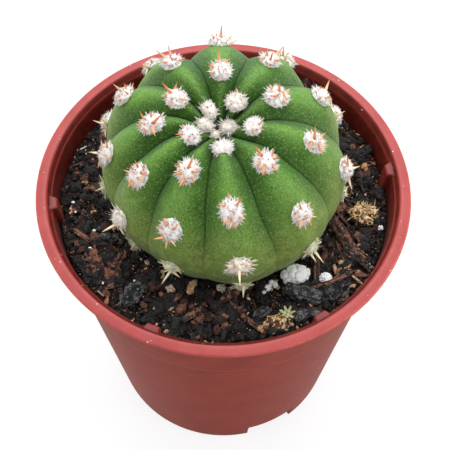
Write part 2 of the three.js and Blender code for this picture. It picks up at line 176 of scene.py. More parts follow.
def make_object(name, points, faces, material, smooth=True, fields=None):
    """An object from points in millimetres. faces holds one array per number of corners."""
    mesh = bpy.data.meshes.new(name)
    groups = faces if isinstance(faces, list) else [faces]
    groups = [np.asarray(group, dtype=np.int32) for group in groups if len(group)]
    corners = np.concatenate([group.ravel() for group in groups])
    sizes = np.concatenate([np.full(len(g), g.shape[1], dtype=np.int32) for g in groups])
    starts = np.concatenate([[0], np.cumsum(sizes)[:-1]]).astype(np.int32)
    mesh.vertices.add(len(points))
    mesh.vertices.foreach_set("co", (np.asarray(points) * MM).astype(np.float32).ravel())
    mesh.loops.add(len(corners))
    mesh.loops.foreach_set("vertex_index", corners)
    mesh.polygons.add(len(sizes))
    mesh.polygons.foreach_set("loop_start", starts)
    mesh.polygons.foreach_set("loop_total", sizes)
    mesh.polygons.foreach_set("use_smooth", np.full(len(sizes), smooth))
    for field, values in (fields or {}).items():
        layer = mesh.attributes.new(field, "FLOAT", "POINT")
        layer.data.foreach_set("value", np.asarray(values, dtype=np.float32))
    mesh.materials.append(material)
    mesh.update(calc_edges=True)
    mesh.validate()
    return add_object(name, mesh)


def piece(made, slot, *nodes):
    """Tells the frame what a piece rides on and hides the nodes that it replaces; slot, its finish,
    is not used.
    """
    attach(made, "root")
    if nodes:
        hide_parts(*nodes)
    return made


def grid_faces(rows, columns):
    """Quads between rows of points; each row goes counter-clockwise, and rows go up."""
    i, j = np.meshgrid(np.arange(rows - 1), np.arange(columns))
    i, j = i.ravel(), j.ravel()
    k = (j + 1) % columns
    return np.stack([i * columns + j, i * columns + k, (i + 1) * columns + k,
                     (i + 1) * columns + j], axis=1)


def end_caps(rows, columns, count):
    """Triangles from the first and last row of a grid to the last two of count points."""
    j = np.arange(columns)
    k = (j + 1) % columns
    last = (rows - 1) * columns
    return np.concatenate([np.stack([np.full_like(j, count - 2), k, j], axis=1),
                           np.stack([np.full_like(j, count - 1), last + j, last + k], axis=1)])


def smoothstep(x, low, high):
    """0 at low and 1 at high, with a smooth rise between them; low may be the greater."""
    t = np.clip((np.asarray(x, dtype=float) - low) / (high - low), 0, 1)
    return t * t * (3 - 2 * t)


def field_noise(points, size, offset=0.0):
    """Smooth noise from -1 to 1 at each point, with features of about the given size."""
    scaled = np.asarray(points) / size + offset
    return np.array([noise.noise(p) for p in scaled.tolist()])


def rough_noise(points, size, octaves=4, offset=0.0):
    """Noise of several sizes together, the largest about the given size."""
    scaled = np.asarray(points) / size + offset
    return np.array([noise.fractal(p, 0.9, 2.1, octaves) for p in scaled.tolist()])


def icosphere(level):
    """Points and faces of a unit sphere of triangles."""
    t = (1 + math.sqrt(5)) / 2
    points = [(-1, t, 0), (1, t, 0), (-1, -t, 0), (1, -t, 0), (0, -1, t), (0, 1, t),
              (0, -1, -t), (0, 1, -t), (t, 0, -1), (t, 0, 1), (-t, 0, -1), (-t, 0, 1)]
    faces = [(0, 11, 5), (0, 5, 1), (0, 1, 7), (0, 7, 10), (0, 10, 11), (1, 5, 9),
             (5, 11, 4), (11, 10, 2), (10, 7, 6), (7, 1, 8), (3, 9, 4), (3, 4, 2),
             (3, 2, 6), (3, 6, 8), (3, 8, 9), (4, 9, 5), (2, 4, 11), (6, 2, 10),
             (8, 6, 7), (9, 8, 1)]
    points = [Vector(p).normalized() for p in points]
    for _ in range(level):
        middles = {}

        def middle(a, b):
            key = (min(a, b), max(a, b))
            if key not in middles:
                middles[key] = len(points)
                points.append(((points[a] + points[b]) / 2).normalized())
            return middles[key]

        finer = []
        for a, b, c in faces:
            ab, bc, ca = middle(a, b), middle(b, c), middle(c, a)
            finer += [(a, ab, ca), (b, bc, ab), (c, ca, bc), (ab, bc, ca)]
        faces = finer
    return np.array([tuple(p) for p in points]), np.array(faces)


# --- Node materials ----------------------------------------------------------
class Nodes:
    """Short calls for building the node tree of a material or a world."""

    def __init__(self, owner):
        owner.use_nodes = True
        self.tree = owner.node_tree

    def link(self, value, socket):
        """Links an output to a socket, or sets the socket to a value."""
        if isinstance(value, bpy.types.NodeSocket):
            self.tree.links.new(value, socket)
        elif socket.type == "RGBA":
            socket.default_value = (*value, 1)
        else:
            socket.default_value = value

    def add(self, kind, output, values=None, **settings):
        """A node with its settings and the values of its sockets; gives back one output."""
        node = self.tree.nodes.new("ShaderNode" + kind)
        for name, value in settings.items():
            setattr(node, name, value)
        for name, value in (values or {}).items():
            self.link(value, node.inputs[name])
        return node.outputs[output]

    def math(self, how, a, b=0.0):
        return self.add("Math", 0, {0: a, 1: b}, operation=how)

    def times(self, first, *others):
        """The product of several values."""
        for other in others:
            first = self.math("MULTIPLY", first, other)
        return first

    def range(self, value, from_low, from_high, to_low=0.0, to_high=1.0, how="SMOOTHSTEP"):
        return self.add("MapRange", "Result",
                        {"Value": value, "From Min": from_low, "From Max": from_high,
                         "To Min": to_low, "To Max": to_high}, interpolation_type=how)

    def mix(self, share, a, b):
        return self.add("Mix", 2, {0: share, 6: a, 7: b}, data_type="RGBA")

    def split(self, way):
        """The X, Y and Z of a vector, by name."""
        return self.add("SeparateXYZ", 0, {0: way}).node.outputs


class Material(Nodes):
    """A material whose textures are sized in millimetres and stay with the object."""

    def __init__(self, name, roughness=0.5, specular=0.5, sheen=()):
        self.material = bpy.data.materials.new(name)
        super().__init__(self.material)
        self.shader = self.tree.nodes["Principled BSDF"]
        self.place = self.add("TexCoord", "Object")
        names = ("Sheen Weight", "Sheen Roughness", "Sheen Tint")
        self.set({"Roughness": roughness, "Specular IOR Level": specular,
                  **dict(zip(names, sheen))})

    def set(self, values):
        for name, value in values.items():
            self.link(value, self.shader.inputs[name])

    def noise(self, size, detail=3.0, rough=0.55, place=None):
        return self.add("TexNoise", "Fac", {"Vector": place or self.place, "Detail": detail,
                                            "Scale": 1 / (size * MM), "Roughness": rough})

    def cells(self, size):
        """The distance to the nearest of many scattered points."""
        return self.add("TexVoronoi", "Distance", {"Vector": self.place, "Scale": 1 / (size * MM)})

    def spots(self, size, small, large, patch, low, high):
        """Round spots that show only in some patches."""
        return self.times(self.range(self.cells(size), small, large, 1, 0),
                          self.range(patch, low, high))

    def field(self, name):
        return self.add("Attribute", "Fac", attribute_name=name)

    def ramp(self, value, *stops):
        colour = self.add("ValToRGB", "Color", {"Fac": value})
        elements = colour.node.color_ramp.elements
        while len(elements) < len(stops):
            elements.new(0.5)
        for element, (at, shade) in zip(elements, stops):
            element.position = at
            element.color = (*shade, 1)
        return colour

    def bump(self, height, distance, strength=1.0, after=None):
        values = {"Strength": strength, "Distance": distance * MM, "Height": height}
        if after is not None:
            values["Normal"] = after
        return self.add("Bump", 0, values)

    def finish(self, colour, roughness, normal):
        self.set({"Base Color": colour, "Roughness": roughness, "Normal": normal})
        return self.material


def pot_material():
    """Moulded plastic. Heights and radii in it are in metres, as the object's places are."""
    n = Material("pot_plastic", specular=0.38, sheen=(0.06, 0.3, (1, 0.7, 0.6)))
    parts = n.split(n.place)
    x, y, z = (parts[axis] for axis in "XYZ")
    radius = n.math("SQRT", n.math("ADD", n.times(x, x), n.times(y, y)))
    cloud = n.noise(9, 4)
    clouded = n.range(cloud, 0.35, 0.7)
    # Painted light and shade: the flange on top gets a lighter colour than the wall below, as if
    # lit from above.
    rim = n.mix(clouded, (0.43, 0.064, 0.060), (0.37, 0.050, 0.047))
    wall = n.mix(clouded, (0.30, 0.036, 0.018), (0.26, 0.029, 0.014))
    colour = n.mix(n.range(z, 0.0962, 0.0970), wall, rim)
    # The step of the collar shows as a dark line of painted shadow with a light edge of painted
    # highlight over it.
    shade = n.times(n.range(z, 0.0725, 0.0731), n.range(z, 0.0740, 0.0737), 0.5)
    colour = n.mix(shade, colour, (0.13, 0.012, 0.007))
    edge = n.times(n.range(z, 0.0738, 0.0740), n.range(z, 0.0750, 0.0744), 0.35)
    colour = n.mix(edge, colour, (0.46, 0.11, 0.07))
    grain = n.noise(0.7, 5, 0.75)
    colour = n.mix(n.range(grain, 0.5, 0.72, 0, 0.24), colour, (0.46, 0.085, 0.065))
    colour = n.mix(n.range(grain, 0.46, 0.3, 0, 0.3), colour, (0.20, 0.018, 0.012))
    # The inside of the wall and the slope under the rim's inner edge are painted dark as shade,
    # mottled, and less on the lugs.
    off_wall = n.math("SUBTRACT", radius, n.times(z, WALL_TAPER))
    inside = n.times(n.range(off_wall, 0.0364, 0.0360), n.range(z, 0.0983, 0.0977))
    slope = n.times(n.range(radius, 0.0497, 0.0492), n.range(z, 0.0968, 0.0971))
    inside = n.times(n.math("MAXIMUM", inside, slope), n.range(n.field("lug"), 0, 1, 1, 0.3))
    stain_and_shade = n.mix(n.range(n.noise(4, 4), 0.4, 0.65), (0.150, 0.012, 0.008), (0.090, 0.006, 0.005))
    colour = n.mix(n.times(inside, 0.94), colour, stain_and_shade)
    # A painted highlight lies along the lip, dust lies on the flange, and the wall is scuffed in
    # places.
    lip = n.times(n.range(radius, 0.05215, 0.0524), n.range(z, 0.0970, 0.0981))
    wear_and_highlight = n.times(lip, n.range(n.noise(1.6, 3), 0.35, 0.6, 0.35, 1.0), 0.7)
    colour = n.mix(wear_and_highlight, colour, (0.66, 0.13, 0.08))
    dust = n.spots(1.9, 0.07, 0.14, n.noise(5, 2), 0.5, 0.6)
    colour = n.mix(n.times(dust, n.range(z, 0.0972, 0.0979), 0.8), colour, (0.85, 0.72, 0.70))
    along = n.add("Mapping", 0, {"Vector": n.place, "Scale": (0.2, 0.2, 1.5)})
    scuffed = n.times(n.range(n.noise(1.2, 6, 0.7, along), 0.56, 0.7),
                      n.range(n.noise(18, 2), 0.52, 0.66), 0.12)
    colour = n.mix(scuffed, colour, (0.55, 0.26, 0.22))
    normal = n.bump(cloud, 0.2, 0.2, after=n.bump(grain, 0.05, 0.5))
    return n.finish(colour, n.range(grain, 0.3, 0.7, 0.36, 0.5), normal)


def skin_material():
    """Green skin from the fields groove, groove_side_shade, crest, low (towards the soil) and
    middle; groove and groove_side_shade paint shade, crest a highlight.
    """
    n = Material("skin", specular=0.24, sheen=(0.14, 0.4, (0.75, 0.95, 0.95)))
    crest, low = n.field("crest"), n.field("low")
    colour = n.ramp(n.noise(8, 4, 0.6), (0.3, (0.046, 0.135, 0.013)),
                    (0.5, (0.070, 0.190, 0.018)), (0.72, (0.120, 0.280, 0.032)))
    # Painted highlight: the crests get a lighter green, with yellower patches.
    colour = n.mix(n.times(crest, 0.6), colour, (0.150, 0.310, 0.055))
    yellow = n.range(n.noise(6, 3, 0.5), 0.52, 0.72, 0, 0.6)
    colour = n.mix(n.times(yellow, crest), colour, (0.165, 0.34, 0.03))
    olive = n.mix(n.range(n.noise(3, 4), 0.35, 0.7), (0.170, 0.240, 0.038), (0.290, 0.350, 0.085))
    colour = n.mix(n.times(low, 0.85), colour, olive)
    # Painted shade on the flanks beside the grooves, on the upper body.
    colour = n.mix(n.times(n.field("groove_side_shade"), 0.72), colour, (0.026, 0.085, 0.007))
    fine = n.noise(0.5, 5, 0.8)
    colour = n.mix(n.range(fine, 0.53, 0.66, 0, 0.62), colour, (0.30, 0.46, 0.13))
    colour = n.mix(n.range(fine, 0.48, 0.34, 0, 0.85), colour, (0.014, 0.050, 0.004))
    speckle = n.spots(0.52, 0.18, 0.34, n.noise(0.8, 3), 0.47, 0.62)
    colour = n.mix(n.times(speckle, n.range(low, 0, 1, 0.4, 0.7)), colour, (0.50, 0.60, 0.24))
    # Painted shade: a dark line along the bottom of each groove.
    colour = n.mix(n.field("groove"), colour, (0.012, 0.040, 0.004))
    colour = n.mix(n.field("middle"), colour, (0.16, 0.065, 0.02))
    scars = n.spots(4.5, 0.05, 0.09, n.noise(11, 2), 0.55, 0.65)
    colour = n.mix(n.times(scars, 0.8), colour, (0.36, 0.17, 0.04))
    normal = n.bump(n.noise(1.6, 4), 0.2, 0.5, after=n.bump(fine, 0.14, 0.8))
    return n.finish(colour, n.range(n.noise(1.2, 4), 0.3, 0.7, 0.48, 0.68), normal)


def wool_material(name, light, cream, stain_and_shade):
    """Wool from the fields cream (how yellowed it is), tint (of each strand) and deep, which paints
    shade in hollows and at strand roots and darkens the lower side.
    """
    n = Material(name, roughness=0.95, specular=0.08, sheen=(1.0, 0.6))
    colour = n.mix(n.field("cream"), light, cream)
    patches = n.noise(0.8, 3, 0.6)
    # Stains in patches and on some strands, then painted shade where the field deep is high.
    for share in (n.range(patches, 0.55, 0.66, 0, 0.45),
                  n.range(n.field("tint"), 0.84, 0.93, 0, 0.8),
                  n.times(n.field("deep"), 0.6)):
        colour = n.mix(share, colour, stain_and_shade)
    normal = n.bump(n.noise(0.2, 4, 0.7), 0.06, 0.4)
    return n.finish(colour, n.range(patches, 0.3, 0.7, 0.88, 0.98), normal)


def spine_material():
    """Spines from the fields along (0 at the root, 1 at the tip) and pale (old ones)."""
    n = Material("spine")
    along = n.field("along")
    young = n.ramp(along, (0.0, (0.42, 0.11, 0.035)), (0.25, (0.80, 0.30, 0.09)),
                   (0.7, (0.72, 0.22, 0.055)), (1.0, (0.26, 0.035, 0.012)))
    old = n.ramp(along, (0.0, (0.82, 0.74, 0.46)), (0.5, (0.94, 0.86, 0.60)),
                 (0.85, (0.85, 0.58, 0.26)), (1.0, (0.50, 0.22, 0.08)))
    streaks = n.noise(0.3, 3)
    colour = n.mix(n.range(streaks, 0.5, 0.75, 0, 0.35), n.mix(n.field("pale"), young, old),
                   (0.92, 0.56, 0.27))
    return n.finish(colour, n.range(streaks, 0.3, 0.7, 0.35, 0.5), n.bump(streaks, 0.04, 0.5))


def soil_material():
    """Black peat with brown fibres and flecks, made near black so that it also stands as painted
    shade in the gaps between the crumbs.
    """
    n = Material("soil", specular=0.3)
    lumps = n.noise(2.2, 6, 0.7)
    colour = n.ramp(lumps, (0.38, (0.002, 0.001, 0.001)), (0.55, (0.008, 0.005, 0.004)),
                    (0.68, (0.035, 0.015, 0.010)), (0.82, (0.12, 0.05, 0.03)))
    flecks = n.spots(1.1, 0.12, 0.2, n.noise(2.5, 2), 0.5, 0.6)
    colour = n.mix(n.times(flecks, 0.7), colour, (0.50, 0.22, 0.10))
    fine = n.noise(0.4, 4, 0.75)
    colour = n.mix(n.range(fine, 0.6, 0.75, 0, 0.5), colour, (0.12, 0.065, 0.05))
    normal = n.bump(fine, 0.25, 0.8, after=n.bump(lumps, 1.0, 0.8))
    return n.finish(colour, n.range(fine, 0.3, 0.7, 0.5, 0.9), normal)


def crumb_material():
    """Crumbs from black to a few light ones, by the field tint."""
    n = Material("crumbs")
    colour = n.ramp(n.field("tint"), (0.0, (0.002, 0.002, 0.003)), (0.5, (0.007, 0.005, 0.005)),
                    (0.68, (0.030, 0.012, 0.008)), (0.82, (0.13, 0.046, 0.030)),
                    (0.91, (0.34, 0.13, 0.07)), (0.955, (0.85, 0.42, 0.17)),
                    (1.0, (0.95, 0.86, 0.70)))
    fine = n.noise(0.5, 5, 0.75)
    colour = n.mix(n.range(fine, 0.56, 0.72, 0, 0.6), colour, (0.28, 0.14, 0.10))
    colour = n.mix(n.range(fine, 0.5, 0.4, 0, 0.9), colour, (0.002, 0.002, 0.002))
    return n.finish(colour, n.range(n.noise(1.5, 2), 0.4, 0.6, 0.3, 0.8), n.bump(fine, 0.4, 0.9))


def wood_material(name, dark, light, glint):
    """Fibrous wood or bark; the field ridge is high on its raised fibres, which are painted lighter
    as a highlight, with painted shade between them.
    """
    n = Material(name, specular=0.45)
    fine, patches = n.noise(0.45, 5, 0.75), n.noise(1.7, 4)
    raised = n.math("ADD", n.field("ridge"), n.times(fine, 0.9))
    # Painted highlight on the raised fibres, painted shade between them.
    colour = n.mix(n.range(raised, 0.72, 1.25), dark, light)
    colour = n.mix(n.range(patches, 0.54, 0.42, 0, 0.92), colour, dark)
    colour = n.mix(n.range(n.noise(0.6, 4, 0.65), 0.6, 0.68, 0, 0.85), colour, glint)
    return n.finish(colour, n.range(patches, 0.3, 0.7, 0.35, 0.75), n.bump(fine, 0.35, 0.9))


def perlite_material():
    """White popped grains with dark pores of painted shade; the field deep is high in their
    creases, where it paints shade.
    """
    n = Material("perlite", specular=0.3, sheen=(0.6, 0.7))
    pores = n.noise(1.1, 6, 0.7)
    # Painted shade: dark pores from the noise, and darker creases from the field deep.
    colour = n.ramp(pores, (0.28, (0.10, 0.08, 0.06)), (0.34, (0.62, 0.60, 0.56)),
                    (0.39, (0.99, 0.99, 0.98)))
    colour = n.mix(n.times(n.field("deep"), 0.8), colour, (0.20, 0.17, 0.13))
    return n.finish(colour, n.range(pores, 0.3, 0.7, 0.95, 0.75), n.bump(pores, 0.4, 0.8))


def plain_grain(name, *stops, size=1.0):
    """A grain of one kind of stuff, with a mottled colour."""
    n = Material(name, specular=0.35)
    grain = n.noise(size, 5, 0.65)
    normal = n.bump(n.noise(size / 3, 4, 0.7), 0.25, 0.8)
    return n.finish(n.ramp(grain, *stops), n.range(grain, 0.3, 0.7, 0.5, 0.85), normal)


def tinted_material(name, *stops):
    """Fibres or flakes that each take their colour from the field tint."""
    n = Material(name, specular=0.35)
    grain = n.noise(0.4, 4, 0.7)
    spread = n.math("ADD", n.field("tint"), n.range(grain, 0.3, 0.7, -0.12, 0.12))
    return n.finish(n.ramp(spread, *stops), n.range(grain, 0.3, 0.7, 0.5, 0.85),
                    n.bump(grain, 0.15, 0.7))


POT = pot_material()
SKIN = skin_material()
WOOL = wool_material("wool", (0.985, 0.98, 0.975), (0.95, 0.89, 0.74), (0.82, 0.48, 0.30))
OLD_WOOL = wool_material("old_wool", (0.88, 0.88, 0.60), (0.78, 0.80, 0.38), (0.42, 0.30, 0.10))
SPINE = spine_material()
SOIL = soil_material()
CRUMBS = crumb_material()
PERLITE = perlite_material()
BARK = wood_material("bark", (0.006, 0.003, 0.002), (0.26, 0.098, 0.060), (0.70, 0.42, 0.27))
CHARCOAL = wood_material("charcoal", (0.003, 0.003, 0.004), (0.115, 0.115, 0.125),
                         (0.55, 0.50, 0.47))
STRAW = plain_grain("straw", (0.35, (0.30, 0.15, 0.06)), (0.62, (0.72, 0.50, 0.28)), size=0.8)
MOSS = tinted_material("moss", (0.0, (0.012, 0.006, 0.004)), (0.3, (0.10, 0.04, 0.015)),
                       (0.55, (0.60, 0.33, 0.12)), (0.8, (0.84, 0.60, 0.30)),
                       (1.0, (0.92, 0.84, 0.68)))
LEAVES = tinted_material("leaves", (0.0, (0.05, 0.02, 0.01)), (0.3, (0.32, 0.12, 0.04)),
                         (0.6, (0.75, 0.48, 0.22)), (0.82, (0.90, 0.78, 0.58)),
                         (1.0, (0.60, 0.66, 0.24)))
SPROUT = plain_grain("sprout", (0.35, (0.20, 0.24, 0.06)), (0.6, (0.62, 0.62, 0.36)), size=0.7)
PEBBLE = plain_grain("pebble", (0.32, (0.010, 0.014, 0.014)), (0.5, (0.05, 0.065, 0.06)),
                     (0.7, (0.26, 0.29, 0.26)), size=1.3)


# --- Camera, floor and light --------------------------------------------------
def make_camera():
    """The camera that took the photograph, fitted to the pot's rim, wall line and foot."""
    camera = bpy.data.cameras.new("camera")
    camera.sensor_width = SENSOR
    camera.lens = CAMERA_LENS
    camera.clip_start = 0.01
    bpy.context.scene.camera = add_object("camera", camera, CAMERA_PLACE * MM,
                                          CAMERA_TURN.to_euler())


def make_floor():
    """A pale floor that doesn't mirror in the pot's side, and a round backdrop far off."""
    n = Material("floor", roughness=0.9, specular=0.1)
    n.set({"Emission Color": (1, 1, 1), "Emission Strength": 0.80,
           "Base Color": n.mix(n.range(n.noise(60, 2), 0.3, 0.7), (0.21, 0.21, 0.21),
                               (0.23, 0.23, 0.23))})
    square = np.array([(-1, -1, 0), (1, -1, 0), (1, 1, 0), (-1, 1, 0)])
    floor = make_object("floor", square * FLOOR_REACH, [[(0, 1, 2, 3)]], n.material)
    floor.visible_glossy = False
    around = 64
    turn = np.arange(around) * TAU / around
    rim = np.stack([np.cos(turn), np.sin(turn)], axis=1) * (FLOOR_REACH - 10)
    points = np.concatenate([np.insert(rim, 2, z, axis=1) for z in (-5, BACKDROP_HEIGHT)])
    backdrop = make_object("backdrop", points, [grid_faces(2, around)], n.material)
    for sees in ("diffuse", "glossy", "shadow"):
        setattr(backdrop, f"visible_{sees}", False)


def area_light(name, place, target, size, power, colour):
    """A round light that faces a target; places and size in metres, power in watts."""
    light = bpy.data.lights.new(name, "AREA")
    light.shape = "DISK"
    light.size = size
    light.energy = power
    light.color = colour
    turn = (Vector(target) - Vector(place)).to_track_quat("-Z", "Y").to_euler()
    add_object(name, light, place, turn)


def make_light():
    """A pale studio, brighter overhead, at the back and at the sides, and two soft lights."""
    world = bpy.data.worlds.new("studio")
    n = Nodes(world)
    way = n.add("TexCoord", "Generated")
    overhead = n.add("VectorMath", "Value", {0: way, 1: (0.0, 0.10, 0.995)},
                     operation="DOT_PRODUCT")
    strength = n.range(overhead, 0.0, 0.9, 0.12, 1.0, how="LINEAR")
    for axis, towards, share in (("Y", "MAXIMUM", 0.55), ("X", "ABSOLUTE", 0.42)):
        part = n.math(towards, n.split(way)[axis])
        strength = n.add("Math", 0, {0: part, 1: share, 2: strength}, operation="MULTIPLY_ADD")
    background = n.tree.nodes["Background"]
    n.link((0.96, 0.98, 1.0), background.inputs["Color"])
    n.link(strength, background.inputs["Strength"])
    bpy.context.scene.world = world
    area_light("key", (0.02, 0.58, 1.08), (0, 0, 0.1), 1.25, 9.3, (1.0, 0.99, 0.98))
    area_light("fill", (1.05, -0.25, 0.42), (0, 0, 0.08), 0.9, 3.0, (1.0, 0.98, 0.94))
    bpy.context.scene.view_settings.view_transform = "Standard"


make_camera()
make_floor()
make_light()


# --- Pot ----------------------------------------------------------------------
def wall_outside(z):
    """The radius of the wall's outer side at a height."""
    return FOOT_RADIUS + WALL_TAPER * z + (COLLAR_STEP if z > COLLAR_Z else 0)


def wall_inside(z):
    """The radius of the wall's inner side at a height."""
    return wall_outside(z) - WALL


def pot_profile():
    """Rows of (radius, height, how much a lug stands in here, how much a notch lifts)."""
    foot_inside = FOOT_RADIUS - FOOT_WIDTH
    foot_rows = (NOTCH_HEIGHT + 0.05, 5.2, 3.5, 1.8)
    top = POT_HEIGHT - RIM_FALL
    under = top - RIM_LIP
    floor_top = FLOOR_Z + FLOOR
    rows = [(radius, FLOOR_Z, 0, 0) for radius in (*FLOOR_RADII, foot_inside - 0.6)]
    rows += [(foot_inside + WALL_TAPER * FLOOR_Z, FLOOR_Z - 0.3, 0, 0)]
    rows += [(foot_inside + WALL_TAPER * z, z, 0, z < NOTCH_HEIGHT) for z in foot_rows]
    rows += [(foot_inside, 0.2, 0, 1), (foot_inside + 0.2, 0, 0, 1),
             (FOOT_RADIUS - 0.3, 0, 0, 1), (FOOT_RADIUS, 0.3, 0, 0.9)]
    rows += [(wall_outside(z), z, 0, z < NOTCH_HEIGHT) for z in foot_rows[::-1]]
    rows += [(wall_outside(z), z, 0, 0)
             for z in (*np.linspace(10, COLLAR_Z - 0.4, 22), COLLAR_Z - 0.1, COLLAR_Z + 0.25,
                       *np.linspace(COLLAR_Z + 0.6, NECK_Z - 0.4, 7))]
    rows += [(wall_outside(NECK_Z) + 0.1, NECK_Z + 0.2, 0, 0),
             (wall_outside(NECK_Z) + 0.7, under + 0.1, 0, 0)]
    rows += [(RIM_RADIUS - back, z, 0, 0)
             for back, z in ((0.5, under - 0.02), (0.12, under + 0.06), (0, under + 0.25),
                             (0, top - 0.3), (0.1, top - 0.07), (0.35, top + 0.02))]
    rows += [(RIM_INNER_RADIUS + out, POT_HEIGHT - fall, 0, 0)
             for out, fall in ((0.9, 0.12), (0.15, 0), (-0.12, 0.06), (-0.4, 0.3), (-0.8, 0.75))]
    # The lug's rounded top is a shelf between two rows of nearly the same height.
    rows += [(RIM_INNER_RADIUS - 1.15 - back, z, lug, 0)
             for back, z, lug in ((0, 97.42, 0), (0.04, 97.36, 0.45), (0.09, 97.28, 0.72),
                                  (0.2, 97.05, 0.92))]
    rows += [(wall_inside(LUG_TOP_Z) + 0.05, LUG_TOP_Z, 1, 0)]
    rows += [(wall_inside(z), z, min((z - LUG_FOOT_Z) / LUG_FADE, 1), 0)
             for z in (95.8, 95, 94, 93, 92, 91, 90, 88, 85, 82, 79, 75, 71, 68)]
    rows += [(wall_inside(z), z, 0, 0) for z in np.linspace(LUG_FOOT_Z - 1, floor_top + 1, 16)]
    rows += [(wall_inside(floor_top) - 0.3, floor_top + 0.3, 0, 0)]
    rows += [(radius, floor_top, 0, 0)
             for radius in (wall_inside(floor_top) - 1, *FLOOR_RADII[::-1])]
    return np.array(rows, dtype=float)


def away_from(degrees, azimuths):
    """The angle from each direction to the nearest of some azimuths."""
    return np.min([np.abs((degrees - azimuth + 180) % 360 - 180) for azimuth in azimuths], axis=0)


def lug_share(degrees):
    """1 across a stacking lug's face, falling to 0 past its rounded sides."""
    across = np.radians(away_from(degrees, LUG_AZIMUTHS)) * LUG_FACE_RADIUS
    return 1 - smoothstep(across, LUG_WIDTH / 2 - 0.55, LUG_WIDTH / 2 + 0.1)


def make_pot():
    """The whole pot as one closed shell, turned from its profile."""
    rows = pot_profile()
    degrees = np.arange(POT_COLUMNS) * 360 / POT_COLUMNS
    angle = np.radians(degrees)
    wide = np.ones(POT_COLUMNS)
    radius, height, lug, notch = (rows[:, i][:, None] * wide for i in range(4))
    lug = lug * lug_share(degrees)
    in_notch = (notch > 0) & (away_from(degrees, NOTCH_AZIMUTHS) <= NOTCH_ANGLE / 2)
    wall = np.array([wall_inside(min(z, LUG_TOP_Z)) for z in rows[:, 1]])[:, None]
    radius = radius - lug * (LUG_REACH + (radius - wall))
    # A notch's rows are pressed together just under its top, and none of them coincide.
    height = np.where(in_notch, NOTCH_HEIGHT + 0.004 * height, height)
    thinnest = FOOT_RADIUS - FOOT_WIDTH + WALL_TAPER * (NOTCH_HEIGHT + 0.05)
    radius = np.where(in_notch, np.maximum(radius, thinnest), radius)
    # The soft wall is a little out of round, most of all at the rim.
    wobble = 0.16 * np.cos(2 * angle + 0.6) + 0.07 * np.cos(3 * angle + 2.0)
    radius = radius + smoothstep(height, 20, 98) * wobble
    points = np.stack([radius * np.cos(angle), radius * np.sin(angle), height], axis=2)
    points = np.concatenate([points.reshape(-1, 3),
                             [[0, 0, FLOOR_Z], [0, 0, FLOOR_Z + FLOOR]]])
    faces = [grid_faces(len(rows), POT_COLUMNS), end_caps(len(rows), POT_COLUMNS, len(points))]
    fields = {"lug": np.append(lug.ravel(), [0, 0])}
    pot = make_object("pot_body", points, faces, POT, fields=fields)
    cut_drain_holes(pot)
    sharpen(pot)
    piece(pot, "pot_plastic", "pot")


def cut_drain_holes(pot):
    """Cuts the holes in the floor, each with a round cutter that is removed afterwards."""
    around = 48
    turn = (np.arange(around) + 0.5) * TAU / around
    faces = [grid_faces(2, around),
             [list(range(around - 1, -1, -1)), list(range(around, 2 * around))]]
    for index in range(DRAIN_HOLES):
        centre = TAU * index / DRAIN_HOLES
        x = DRAIN_CIRCLE * math.cos(centre) + DRAIN_RADIUS * np.cos(turn)
        y = DRAIN_CIRCLE * math.sin(centre) + DRAIN_RADIUS * np.sin(turn)
        points = np.concatenate([np.stack([x, y, np.full(around, z)], axis=1)
                                 for z in (FLOOR_Z - 1, FLOOR_Z + FLOOR + 1)])
        cutter = make_object("cutter", points, faces, POT)
        cut = pot.modifiers.new("hole", "BOOLEAN")
        cut.operation = "DIFFERENCE"
        cut.solver = "EXACT"
        cut.object = cutter
        apply_modifiers(pot)
        bpy.data.objects.remove(cutter)


def apply_modifiers(made):
    """Bakes an object's modifiers into its mesh."""
    graph = bpy.context.evaluated_depsgraph_get()
    mesh = bpy.data.meshes.new_from_object(made.evaluated_get(graph))
    made.modifiers.clear()
    made.data = mesh


def sharpen(made):
    """Keeps edges crisp where the faces meet at more than the sharp angle."""
    mesh = made.data
    mesh.polygons.foreach_set("use_smooth", np.ones(len(mesh.polygons), dtype=bool))
    mesh.set_sharp_from_angle(angle=SHARP_ANGLE)


# --- Cactus body ----------------------------------------------------------------
BODY_TURN = np.array(UP.rotation_difference(BODY_AXIS).to_matrix())


def between_ribs(azimuth):
    """Where an azimuth lies between two ribs, from 0 to 1, and the reach there."""
    start = RIBS[0][0]
    at = (azimuth - start) % 360
    edges = [(rib[0] - start) % 360 for rib in RIBS] + [360.0]
    k = max(i for i in range(len(RIBS)) if edges[i] <= at + 1e-9)
    share = (at - edges[k]) / (edges[k + 1] - edges[k])
    reach = RIBS[k][1] + (RIBS[(k + 1) % len(RIBS)][1] - RIBS[k][1]) * share
    return share, reach


def outline(angle, reach):
    """Radius and height of the globe's plain outline at an angle from the crown."""
    sweep = np.sin(angle) ** BODY_FULLNESS
    upper = angle < math.pi / 2
    half = np.where(upper, BODY_RISE, BODY_DROP)
    pit = np.where(upper, np.exp(-((MEAN_REACH * sweep / CROWN_PIT_RADIUS) ** 2)), 0)
    return reach * sweep, half * np.cos(angle) - CROWN_PIT_DEPTH * pit


def groove_depth(angle, radius):
    """Depth of the grooves, which are shallow low down and near the crown."""
    fade = smoothstep(angle, GROOVE_FADE_FROM, GROOVE_FADE_TO)
    full = GROOVE_DEPTH + (GROOVE_DEPTH_LOW - GROOVE_DEPTH) * fade
    return full * (1 - np.exp(-radius / GROOVE_START))


